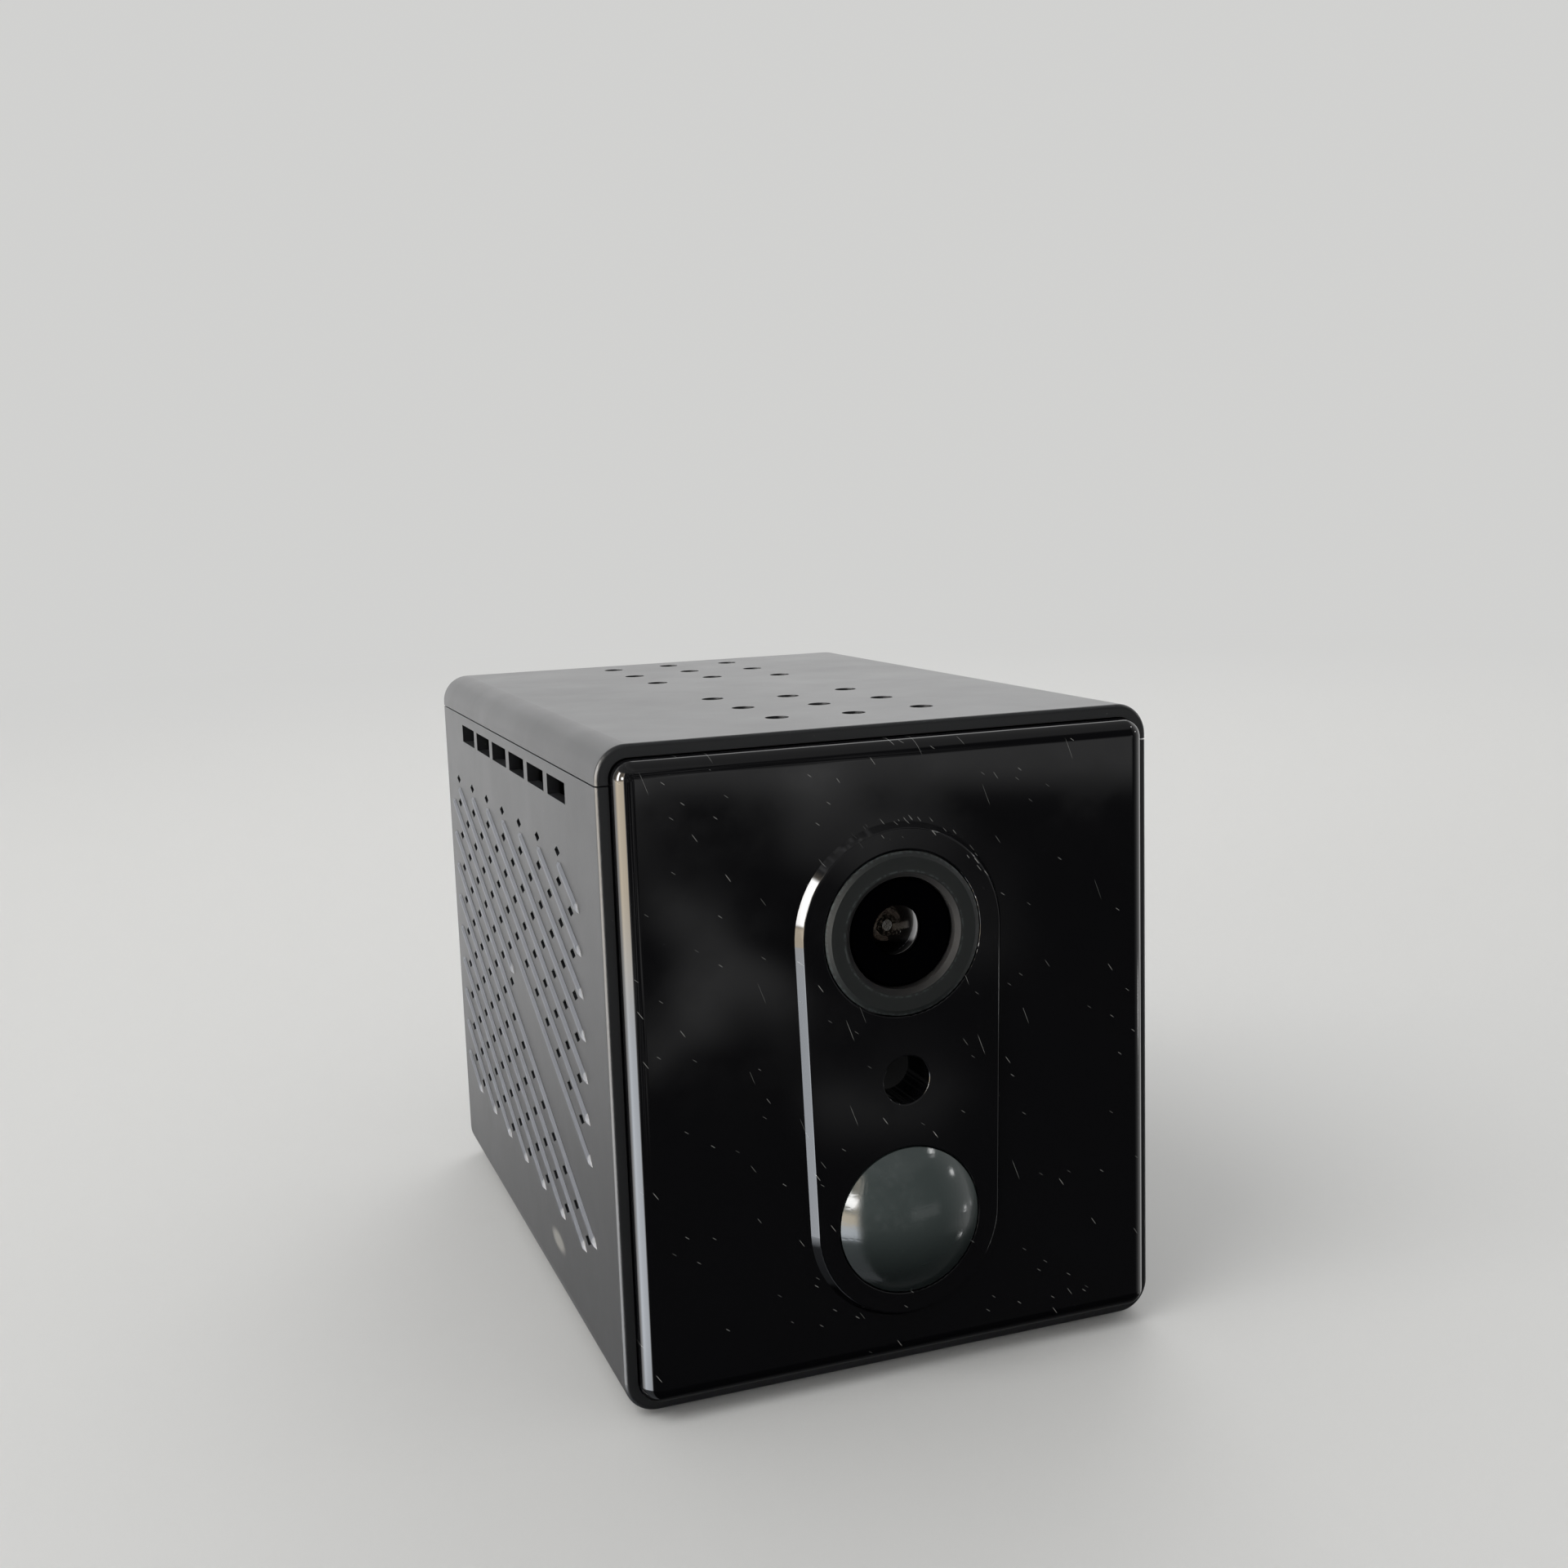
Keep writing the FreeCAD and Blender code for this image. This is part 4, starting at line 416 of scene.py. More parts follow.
# painted highlight: short pale dashes on the raised edge round the lens, at its upper right
level, reach = aroundLens(tree, place)
aside = add(tree, "ShaderNodeSeparateXYZ", links={0: level})
mark = mask(
    tree,
    [
        (reach, *panel["glintInner"]),
        (reach, *panel["glintOuter"]),
        (aside.outputs["X"], *panel["glintRight"]),
        (aside.outputs["Z"], *panel["glintUpper"]),
    ],
    [dashes(tree, place, panel["edgeGlint"])],
)
for look in panel["scratches"]:
    mark = add(
        tree,
        "ShaderNodeMath",
        {"operation": "MAXIMUM"},
        {0: mark, 1: dashes(tree, place, look)},
    ).outputs[0]
# the scratches and the painted highlight share one pale colour
tone = add(
    tree,
    "ShaderNodeMix",
    {"data_type": "RGBA", "A": linear(panel["colour"]), "B": linear(panel["scratchAndGlint"])},
    {"Factor": mark},
)
haze = add(
    tree,
    "ShaderNodeTexNoise",
    {"Scale": 1 / panel["hazeWidth"], "Detail": 4.0, "Roughness": 0.6},
    {"Vector": place},
)
smear = add(
    tree,
    "ShaderNodeMapRange",
    {
        "From Min": panel["hazePatches"][0],
        "From Max": panel["hazePatches"][1],
        "To Min": panel["roughness"],
        "To Max": panel["hazyRoughness"],
    },
    {"Value": haze.outputs["Fac"]},
)
shader = add(
    tree,
    "ShaderNodeBsdfPrincipled",
    {"IOR": panel["index"]},
    {"Base Color": tone.outputs["Result"], "Roughness": smear.outputs[0]},
)
add(tree, "ShaderNodeOutputMaterial", links={"Surface": shader.outputs[0]})
dress(panelGloss, "front_panel")
print("front panel dressed")

# lens ring
ring = {
    "name": "glass-filled nylon, matte",
    "colour": "#0f1313",
    "boreColour": "#040405",
    "rubbed": "#343a3a",
    "roughness": 0.5,
    "boreRoughness": 0.75,
    "index": 1.53,
    "grainWidth": 0.14 * mm,
    "grainDepth": 0.014 * mm,
    "grainStrength": 0.6,
    "rubWidth": 0.35 * mm,
    "rubPatches": (0.42, 0.6),
    "bore": (5.3 * mm, 5.2 * mm),  # distances from the lens axis
    "outerRub": (6.75 * mm, 6.9 * mm),
    "innerRub": ((5.5 * mm, 5.38 * mm), (5.28 * mm, 5.34 * mm)),
}

# glass-filled nylon: dull charcoal with a faint grain, black inside its bore and rubbed paler at both edges
ringNylon, tree = newMaterial(ring["name"])
place = add(tree, "ShaderNodeTexCoord").outputs["Object"]
level, reach = aroundLens(tree, place)
inBore = mask(tree, [(reach, *ring["bore"])])
outerEdge = mask(tree, [(reach, *ring["outerRub"])])
innerEdge = mask(tree, [(reach, *edge) for edge in ring["innerRub"]])
edges = add(tree, "ShaderNodeMath", {"operation": "MAXIMUM"}, {0: outerEdge, 1: innerEdge})
rub = add(tree, "ShaderNodeTexNoise", {"Scale": 1 / ring["rubWidth"], "Detail": 3.0}, {"Vector": place})
rubShare = mask(tree, [(rub.outputs["Fac"], *ring["rubPatches"])], [edges.outputs[0]])
tone = add(
    tree,
    "ShaderNodeMix",
    {"data_type": "RGBA", "A": linear(ring["colour"]), "B": linear(ring["rubbed"])},
    {"Factor": rubShare},
)
bored = add(
    tree,
    "ShaderNodeMix",
    {"data_type": "RGBA", "B": linear(ring["boreColour"])},
    {"Factor": inBore, "A": tone.outputs["Result"]},
)
dull = add(
    tree,
    "ShaderNodeMapRange",
    {"To Min": ring["roughness"], "To Max": ring["boreRoughness"]},
    {"Value": inBore},
)
grain = add(
    tree,
    "ShaderNodeTexNoise",
    {"Scale": 1 / ring["grainWidth"], "Detail": 2.0},
    {"Vector": place},
)
bump = add(
    tree,
    "ShaderNodeBump",
    {"Strength": ring["grainStrength"], "Distance": ring["grainDepth"]},
    {"Height": grain.outputs["Fac"]},
)
shader = add(
    tree,
    "ShaderNodeBsdfPrincipled",
    {"IOR": ring["index"]},
    {"Base Color": bored.outputs["Result"], "Roughness": dull.outputs[0], "Normal": bump.outputs["Normal"]},
)
add(tree, "ShaderNodeOutputMaterial", links={"Surface": shader.outputs[0]})
dress(ringNylon, "lens_ring")

# flocked black paint: swallows the light inside the lens
barrelBlack = {
    "name": "flocked black paint",
    "colour": "#020203",
    "roughness": 0.9,
    "index": 1.02,
    "grainWidth": 0.08 * mm,
    "grainDepth": 0.002 * mm,
    "cloudWidth": 3.0 * mm,
}
flock = grained(barrelBlack)
dress(flock, "lens_barrel")

# moulded ABS, satin: the black frame round the panel
frameSatin = {
    "name": "moulded ABS, satin",
    "colour": "#131415",
    "roughness": 0.34,
    "index": 1.54,
    "grainWidth": 0.15 * mm,
    "grainDepth": 0.006 * mm,
}
dress(grained(frameSatin), "front_frame")

# smoked acrylic: almost black, with a clear polish
smokedAcrylic = {
    "name": "smoked acrylic",
    "colour": "#040506",
    "roughness": 0.06,
    "index": 1.49,
    "grainWidth": 0.8 * mm,
    "grainDepth": 0.001 * mm,
}
dress(grained(smokedAcrylic), "sensor_window")

# silicone rubber: dull and soft
footRubber = {
    "name": "silicone rubber, moulded",
    "colour": "#1e1f20",
    "roughness": 0.75,
    "index": 1.41,
    "grainWidth": 0.25 * mm,
    "grainDepth": 0.02 * mm,
}
dress(grained(footRubber), "rubber_feet", "microphone_boot")

# turned brass: warm, with fine tool lines blurred into a soft shine
turnedBrass = {
    "name": "turned brass",
    "colour": "#b79a56",
    "roughness": 0.3,
    "metallic": 1.0,
    "grainWidth": 0.1 * mm,
    "grainDepth": 0.006 * mm,
    "cloudTone": 0.75,
}
brass = grained(turnedBrass)
dress(brass, "tripod_insert")

# tinned steel: pale and slightly cloudy
tinnedSteel = {
    "name": "tinned steel, stamped",
    "colour": "#9c9c9a",
    "roughness": 0.32,
    "metallic": 1.0,
    "grainWidth": 0.3 * mm,
    "grainDepth": 0.004 * mm,
}
dress(grained(tinnedSteel), "usb_socket", "card_socket", "pir_can")

# black zinc plating: dark metal with a dull edge
zincSteel = {
    "name": "zinc-plated steel, black",
    "colour": "#3a3a3c",
    "roughness": 0.35,
    "metallic": 1.0,
    "grainWidth": 0.2 * mm,
    "grainDepth": 0.005 * mm,
    "cloudWidth": 1.5 * mm,
    "cloudTone": 0.7,
}
zinc = grained(zincSteel)
dress(zinc, "cover_screws", "frame_screws", "front_board_screws", "main_board_screws")

# solder resist: dark green and satin
solderResist = {
    "name": "solder-resist board",
    "colour": "#0f3b22",
    "roughness": 0.38,
    "index": 1.5,
    "grainWidth": 0.6 * mm,
    "grainDepth": 0.01 * mm,
}
dress(grained(solderResist), "main_board", "camera_board", "sensor_board", "antenna")

# epoxy chip resin: dull black
chipResin = {
    "name": "epoxy chip resin",
    "colour": "#151516",
    "roughness": 0.5,
    "index": 1.55,
    "grainWidth": 0.1 * mm,
    "grainDepth": 0.006 * mm,
}
resin = grained(chipResin)
dress(resin, "main_chip", "memory_chips", "wifi_module", "memory_card", "light_sensor", "microphone")

# natural nylon: cream white connectors
naturalNylon = {
    "name": "white nylon, moulded",
    "colour": "#cfcabb",
    "roughness": 0.45,
    "index": 1.53,
    "grainWidth": 0.2 * mm,
    "grainDepth": 0.005 * mm,
    "cloudTone": 0.9,
}
nylon = grained(naturalNylon)
dress(nylon, "board_connector", "battery_connector", "flex_connector", "microphone_connector")

# anodised aluminium: dark grey fins
sinkAluminium = {
    "name": "anodised aluminium, extruded",
    "colour": "#2c2d2f",
    "roughness": 0.4,
    "metallic": 1.0,
    "grainWidth": 0.15 * mm,
    "grainDepth": 0.006 * mm,
}
dress(grained(sinkAluminium), "heat_sink")

# silicone pad: soft pale blue
padSilicone = {
    "name": "silicone heat pad",
    "colour": "#8aa0b4",
    "roughness": 0.7,
    "index": 1.41,
    "grainWidth": 0.3 * mm,
    "grainDepth": 0.01 * mm,
    "cloudTone": 0.9,
}
dress(grained(padSilicone), "heat_pad")

# polyimide film: amber
amberFilm = {
    "name": "polyimide film",
    "colour": "#7a4a12",
    "roughness": 0.3,
    "index": 1.6,
    "grainWidth": 0.4 * mm,
    "grainDepth": 0.004 * mm,
}
dress(grained(amberFilm), "flex_cable")

# laminated aluminium foil: bright and slightly creased
pouchFoil = {
    "name": "aluminium pouch foil",
    "colour": "#a9abae",
    "roughness": 0.3,
    "metallic": 1.0,
    "grainWidth": 0.9 * mm,
    "grainDepth": 0.02 * mm,
    "cloudWidth": 5 * mm,
}
dress(grained(pouchFoil), "battery_cells")

# foam tape: black and dull, with open pores
foamTape = {
    "name": "foam tape",
    "colour": "#161617",
    "roughness": 0.8,
    "index": 1.45,
    "grainWidth": 0.2 * mm,
    "grainDepth": 0.02 * mm,
}
dress(grained(foamTape), "battery_tape", "panel_tape", "speaker_gasket")

# painted steel: the speaker's dark basket
basketSteel = {
    "name": "painted steel, dark",
    "colour": "#2b2c2f",
    "roughness": 0.35,
    "index": 1.5,
    "grainWidth": 0.3 * mm,
    "grainDepth": 0.005 * mm,
}
dress(grained(basketSteel), "speaker")

# black nylon: the buttons and other small black mouldings
buttonNylon = {
    "name": "black nylon, moulded",
    "colour": "#17181a",
    "roughness": 0.45,
    "index": 1.53,
    "grainWidth": 0.2 * mm,
    "grainDepth": 0.006 * mm,
}
blackNylon = grained(buttonNylon)
dress(blackNylon, "lens_holder", "power_button", "reset_button", "power_plunger", "reset_plunger")
dress(blackNylon, "button_switches")

# coated inner glass: nearly black, with a hard polish
innerGlass = {
    "name": "coated inner glass",
    "colour": "#0b0d12",
    "roughness": 0.03,
    "index": 1.6,
    "grainWidth": 2.0 * mm,
    "grainDepth": 0.0005 * mm,
}
coated = grained(innerGlass)
dress(coated, "inner_lens", "filter_glass", "image_sensor")

# clear epoxy: small grey lamps
lampEpoxy = {
    "name": "clear epoxy lamp",
    "colour": "#8c8f93",
    "roughness": 0.1,
    "index": 1.5,
    "grainWidth": 1.0 * mm,
    "grainDepth": 0.0005 * mm,
}
dress(grained(lampEpoxy), "infrared_leds", "status_led")
print("inner pieces dressed")

# motion lens: moulded in rings and spokes of fine facets
motion = {
    "name": "smoked polyethylene",
    "colour": "#3e4544",
    # the darker colour towards the foot is painted shade
    "shadedFootColour": "#1d2222",
    "fade": (9.5 * mm, 17.5 * mm),  # heights
    "roughness": 0.15,
    "index": 1.46,
    "facetWidth": 1.3 * mm,
    "facetDepth": 0.02 * mm,
    "facetEdge": 0.12,  # in shares of the width
    "facetScatter": 0.35,
    "facetStrength": 0.12,
    "grainWidth": 0.3 * mm,
    "grainDepth": 0.003 * mm,
    "grainStrength": 0.5,
}

# smoked polyethylene: waxy grey with faint facets; painted shade darkens it towards its foot
smokedDome, tree = newMaterial(motion["name"])
place = add(tree, "ShaderNodeTexCoord").outputs["Object"]
split = add(tree, "ShaderNodeSeparateXYZ", links={0: place})
# painted shade: the colour darkens from the top down to the foot
rise = mask(tree, [(split.outputs["Z"], *motion["fade"])])
tone = add(
    tree,
    "ShaderNodeMix",
    {"data_type": "RGBA", "A": linear(motion["shadedFootColour"]), "B": linear(motion["colour"])},
    {"Factor": rise},
)
facets = add(
    tree,
    "ShaderNodeTexVoronoi",
    {
        "Scale": 1 / motion["facetWidth"],
        "Randomness": motion["facetScatter"],
        "feature": "DISTANCE_TO_EDGE",
    },
    {"Vector": place},
)
facetEdge = mask(tree, [(facets.outputs["Distance"], 0.0, motion["facetEdge"])])
grain = add(tree, "ShaderNodeTexNoise", {"Scale": 1 / motion["grainWidth"]}, {"Vector": place})
ridge = add(
    tree,
    "ShaderNodeBump",
    {"Strength": motion["facetStrength"], "Distance": motion["facetDepth"]},
    {"Height": facetEdge},
)
bump = add(
    tree,
    "ShaderNodeBump",
    {"Strength": motion["grainStrength"], "Distance": motion["grainDepth"]},
    {"Height": grain.outputs["Fac"], "Normal": ridge.outputs["Normal"]},
)
shader = add(
    tree,
    "ShaderNodeBsdfPrincipled",
    {"IOR": motion["index"], "Roughness": motion["roughness"]},
    {"Base Color": tone.outputs["Result"], "Normal": bump.outputs["Normal"]},
)
add(tree, "ShaderNodeOutputMaterial", links={"Surface": shader.outputs[0]})
dress(smokedDome, "pir_lens")

# front glass
glass = {
    "name": "ground optical glass, coated",
    "colour": "#dfe2e6",
    "roughness": 0.01,
    "index": 1.52,
    "coating": 80.0,
    "coatingIndex": 1.38,
    "filmWidth": 2.5 * mm,
    "capTall": 0.62 * mm,
    "capInset": 0.03 * mm,
    "bevel": 0.02 * mm,
    "sleeveInset": 0.04 * mm,
    "sleeveShort": 0.01 * mm,
    "rows": 40,
    "segments": 160,
}

# ground and coated optical glass: clear, with a faint coloured sheen
lensGlass, tree = newMaterial(glass["name"])
place = add(tree, "ShaderNodeTexCoord").outputs["Object"]
haze = add(tree, "ShaderNodeTexNoise", {"Scale": 1 / glass["filmWidth"]}, {"Vector": place})
film = add(
    tree,
    "ShaderNodeMapRange",
    {"To Min": glass["roughness"], "To Max": glass["roughness"] * 2},
    {"Value": haze.outputs["Fac"]},
)
shader = add(
    tree,
    "ShaderNodeBsdfPrincipled",
    {
        "Base Color": linear(glass["colour"]),
        "IOR": glass["index"],
        "Transmission Weight": 1.0,
        "Thin Film Thickness": glass["coating"],
        "Thin Film IOR": glass["coatingIndex"],
    },
    {"Roughness": film.outputs[0]},
)
add(tree, "ShaderNodeOutputMaterial", links={"Surface": shader.outputs[0]})
dress(lensGlass, "front_glass")
print("lenses dressed")


def facing(radius, angle, along):
    # a turned point round the lens axis, at its place from front to back
    return (radius * math.cos(angle), along, glassMiddle + radius * math.sin(angle))


def closeEnd(points, faces, row, segments, point, flip):
    # a fan of triangles from one row of a turned shape to a point on the axis
    points.append(point)
    tip = len(points) - 1
    for i in range(segments):
        here, there = row * segments + i, row * segments + (i + 1) % segments
        faces.append((tip, here, there) if flip else (tip, there, here))


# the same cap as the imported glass, in a mesh fine enough for clean reflections
glassLow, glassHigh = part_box("front_glass")
glassMiddle = (glassLow[2] + glassHigh[2]) / 2
glassRadius = (glassHigh[0] - glassLow[0]) / 2
capRadius = glassRadius - glass["capInset"]
capEnd = glassLow[1] + glass["capTall"]
capCurve = (capRadius ** 2 + glass["capTall"] ** 2) / (2 * glass["capTall"])
profile = []
for k in range(1, glass["rows"] + 1):
    radius = capRadius * k / glass["rows"]
    profile.append((radius, glassLow[1] + capCurve - math.sqrt(capCurve ** 2 - radius ** 2)))
profile += [(glassRadius, capEnd + glass["bevel"]), (glassRadius, glassHigh[1] - glass["bevel"])]
profile += [(glassRadius - glass["bevel"], glassHigh[1]), (0.5 * glassRadius, glassHigh[1])]
points, faces = turned(profile, glass["segments"], facing)
closeEnd(points, faces, 0, glass["segments"], (0.0, glassLow[1], glassMiddle), True)
lastRow = len(profile) - 1
closeEnd(points, faces, lastRow, glass["segments"], (0.0, glassHigh[1], glassMiddle), False)
fineGlass = meshPiece("frontGlassFine", points, faces, lensGlass)
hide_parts("front_glass")

# lens edges are blackened, so that no light comes back from their ground walls
sleeveRadius = glassRadius - glass["sleeveInset"]
ends = (capEnd - glass["sleeveShort"], glassHigh[1] - glass["sleeveShort"])
points, faces = turned([(sleeveRadius, end) for end in ends], glass["segments"], facing)
meshPiece("blackenedEdge", points, faces, flock)

# second lens element behind the front glass: a steep little dome on a flocked black seat
second = {
    "gap": 0.3 * mm,
    "radius": 1.2 * mm,
    "curve": 1.3 * mm,
    "seat": [  # steps outward from the dome's rim and forward from its foot
        (-0.02 * mm, 0.0),
        (0.06 * mm, 0.1 * mm),
        (0.16 * mm, 0.1 * mm),
        (0.58 * mm, 0.35 * mm),
    ],
    "segments": 120,
    "rows": 30,
}
back = glassHigh[1] + second["gap"] + second["curve"]
profile = []
for k in range(1, second["rows"] + 1):
    radius = second["radius"] * k / second["rows"]
    profile.append((radius, back - math.sqrt(second["curve"] ** 2 - radius ** 2)))
points, faces = turned(profile, second["segments"], facing)
closeEnd(points, faces, 0, second["segments"], (0.0, back - second["curve"], glassMiddle), True)
# multi-coated glass of high index: nearly black, with crisp bright reflections
multiCoated = {
    "name": "multi-coated inner glass",
    "colour": "#0d0b0a",
    "roughness": 0.03,
    "index": 1.62,
    "grainWidth": 2.0 * mm,
    "grainDepth": 0.0005 * mm,
    "cloudWidth": 0.8 * mm,
    "cloudTone": 0.5,
}
meshPiece("secondLens", points, faces, grained(multiCoated))
foot = profile[-1][1]
profile = [(second["radius"] + wider, foot - forward) for wider, forward in second["seat"]]
points, faces = turned(profile, second["segments"], facing)
meshPiece("lensSeat", points, faces, flock, smooth=False)

# rear cover screws: domed heads with a cross recess, on plain shanks
screws = {
    "head": 1.6 * mm,
    "tall": 0.9 * mm,
    "dome": 0.35 * mm,
    "shank": 0.8 * mm,
    "tip": 0.02 * mm,
    "crossLong": 0.95 * mm,
    "crossWide": 0.24 * mm,
    "crossDeep": 0.5 * mm,
    "crossTaper": 0.45,
    "rings": 26,
    "segments": 96,
}
screwLow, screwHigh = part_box("cover_screws")


def onScrew(radius, angle, along):
    # a point of one screw; the rows of its head sink below its highest point
    x, z = radius * math.cos(angle), radius * math.sin(angle)
    if along < screwHigh[1]:
        return (x, along, z)
    sunk = screws["dome"] * (radius / screws["head"]) ** 2
    slim, far = min(abs(x), abs(z)), max(abs(x), abs(z))
    if slim < screws["crossWide"] and far < screws["crossLong"]:
        taper = 1 - screws["crossTaper"] * far / screws["crossLong"]
        sunk = max(sunk, screws["crossDeep"] * taper)
    return (x, along - sunk, z)


under = screwHigh[1] - screws["tall"]
profile = [(screws["head"] * k / screws["rings"], screwHigh[1]) for k in range(1, screws["rings"] + 1)]
profile += [(screws["head"], under), (screws["shank"], under)]
profile += [(screws["shank"], screwLow[1]), (screws["tip"], screwLow[1])]
onePoints, oneFaces = turned(profile, screws["segments"], onScrew)
recess = (0.0, screwHigh[1] - screws["crossDeep"], 0.0)
closeEnd(onePoints, oneFaces, 0, screws["segments"], recess, False)
points, faces = [], []
for middleX in (screwLow[0] + screws["head"], screwHigh[0] - screws["head"]):
    for middleZ in (screwLow[2] + screws["head"], screwHigh[2] - screws["head"]):
        first = len(points)
        points += [(middleX + x, y, middleZ + z) for x, y, z in onePoints]
        faces += [tuple(first + k for k in face) for face in oneFaces]
rearScrews = meshPiece("rearScrews", points, faces, zinc, smooth=False)
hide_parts("cover_screws")
print("lens element and rear screws built")

# port contacts: gold strips on both faces of the tongue
contacts = {
    "count": 12,
    "pitch": 0.5 * mm,
    "wide": 0.26 * mm,
    "thick": 0.03 * mm,
    "near": 31.4 * mm,
    "far": 36.2 * mm,
    "low": 34.25 * mm,
    "high": 34.95 * mm,
}

# gold flash on copper: yellow, with a soft shine
contactGold = {
    "name": "gold flash on copper",
    "colour": "#c9a24a",
    "roughness": 0.25,
    "metallic": 1.0,
    "grainWidth": 0.1 * mm,
    "grainDepth": 0.002 * mm,
    "cloudWidth": 1.0 * mm,
}
corners = ((0, 1, 3, 2), (4, 6, 7, 5), (0, 4, 5, 1), (2, 3, 7, 6), (0, 2, 6, 4), (1, 5, 7, 3))
points, faces = [], []
for base in (contacts["low"] - contacts["thick"], contacts["high"]):
    for i in range(contacts["count"]):
        middle = (i - (contacts["count"] - 1) / 2) * contacts["pitch"]
        first = len(points)
        for depth in (contacts["near"], contacts["far"]):
            for across in (-contacts["wide"] / 2, contacts["wide"] / 2):
                for up in (base, base + contacts["thick"]):
                    points.append((middle + across, depth, up))
        faces += [tuple(first + k for k in face) for face in corners]
meshPiece("portContacts", points, faces, grained(contactGold), smooth=False)

# speaker cloth: a woven disc that shows through the rear vent holes
cloth = {
    "name": "woven polyester cloth",
    "colour": "#111213",
    "roughness": 0.85,
    "index": 1.5,
    "grainWidth": 0.12 * mm,
    "grainDepth": 0.03 * mm,
    "cloudWidth": 2.0 * mm,
    "cloudTone": 0.7,
    "height": 55.35 * mm,
    "radius": 8.4 * mm,
    "thread": 0.35 * mm,
    "lift": 0.05 * mm,
    "rings": 30,
    "segments": 120,
}
clothLow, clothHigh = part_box("speaker_gasket")
clothX = (clothLow[0] + clothHigh[0]) / 2
clothY = (clothLow[1] + clothHigh[1]) / 2


def onCloth(radius, angle, height):
    # a point of the cloth, lifted and sunk by its threads
    x, y = radius * math.cos(angle), radius * math.sin(angle)
    lift = cloth["lift"] * math.cos(math.pi * x / cloth["thread"]) * math.cos(math.pi * y / cloth["thread"])
    return (clothX + x, clothY + y, height + lift)


profile = [(cloth["radius"] * k / cloth["rings"], cloth["height"]) for k in range(1, cloth["rings"] + 1)]
points, faces = turned(profile, cloth["segments"], onCloth)
closeEnd(points, faces, 0, cloth["segments"], (clothX, clothY, cloth["height"]), True)
# woven polyester: black and dull, its threads crossing every 0.35 mm
meshPiece("speakerCloth", points, faces, grained(cloth))

# tripod thread: the helix that the plain bore leaves out
thread = {
    "x": 0.0,
    "y": 2.775 * mm,
    "low": 0.55 * mm,
    "high": 6.45 * mm,
    "root": 2.6 * mm,
    "crest": 2.25 * mm,
    "pitch": 1.27 * mm,
    "rows": 90,
    "segments": 72,
}


def onThread(radius, angle, height):
    # a point of the thread, which winds inward from the root to the crest and back
    phase = (height / thread["pitch"] + angle / (2 * math.pi)) % 1.0
    ridge = 1 - abs(2 * phase - 1)
    radius -= (thread["root"] - thread["crest"]) * ridge
    return (thread["x"] + radius * math.cos(angle), thread["y"] + radius * math.sin(angle), height)


rowStep = (thread["high"] - thread["low"]) / thread["rows"]
profile = [(thread["root"], thread["low"] + rowStep * k) for k in range(thread["rows"] + 1)]
points, faces = turned(profile, thread["segments"], onThread)
faces = [(b, a, d, c) for a, b, c, d in faces]  # a bore is seen from its inside
meshPiece("insertThread", points, faces, brass)
print("port contacts, cloth and thread built")

# floor: a plain pale board that fades out far behind the object
studio = {
    "floorColour": "#dcdcda",
    "floorRadius": 3.0,
    "floorSegments": 96,
    "fibreWidth": mm / 0.9,
    "glossiest": 0.65,
    "dullest": 0.75,
    "fade": (0.22, 0.8),  # distances from the middle
    "wall": 0.64,
    "wallColour": (1.0, 1.0, 0.985, 1.0),
    "matte": 0.62,
    "mirror": 10.0,
}

# painted board, matte: a plain pale floor
paintedBoard, tree = newMaterial("painted board, matte")
place = add(tree, "ShaderNodeTexCoord").outputs["Object"]
fibre = add(
    tree,
    "ShaderNodeTexNoise",
    {"Scale": 1 / studio["fibreWidth"], "Detail": 3.0},
    {"Vector": place},
)
soft = add(
    tree,
    "ShaderNodeMapRange",
    {"To Min": studio["glossiest"], "To Max": studio["dullest"]},
    {"Value": fibre.outputs["Fac"]},
)
shader = add(
    tree,
    "ShaderNodeBsdfPrincipled",
    {"Base Color": linear(studio["floorColour"])},
    {"Roughness": soft.outputs[0]},
)
# far out the eye sees the wall's tone in its place, and the light passes through
clear = add(tree, "ShaderNodeBsdfTransparent")
wallTone = add(
    tree,
    "ShaderNodeEmission",
    {"Color": studio["wallColour"], "Strength": studio["wall"]},
)
rays = add(tree, "ShaderNodeLightPath")
beyond = add(
    tree,
    "ShaderNodeMixShader",
    links={0: rays.outputs["Is Camera Ray"], 1: clear.outputs[0], 2: wallTone.outputs[0]},
)
far = add(tree, "ShaderNodeVectorMath", {"operation": "LENGTH"}, {0: place})
fade = mask(tree, [(far.outputs["Value"], *studio["fade"])])
blend = add(tree, "ShaderNodeMixShader", links={0: fade, 1: shader.outputs[0], 2: beyond.outputs[0]})
add(tree, "ShaderNodeOutputMaterial", links={"Surface": blend.outputs[0]})

floorMesh = bpy.data.meshes.new("floor")
edit = bmesh.new()
bmesh.ops.create_circle(
    edit,
    cap_ends=True,
    segments=studio["floorSegments"],
    radius=studio["floorRadius"],
)
edit.to_mesh(floorMesh)
edit.free()
floor = bpy.data.objects.new("floor", floorMesh)
floorMesh.materials.append(paintedBoard)
bpy.context.scene.collection.objects.link(floor)
floor.visible_glossy = False

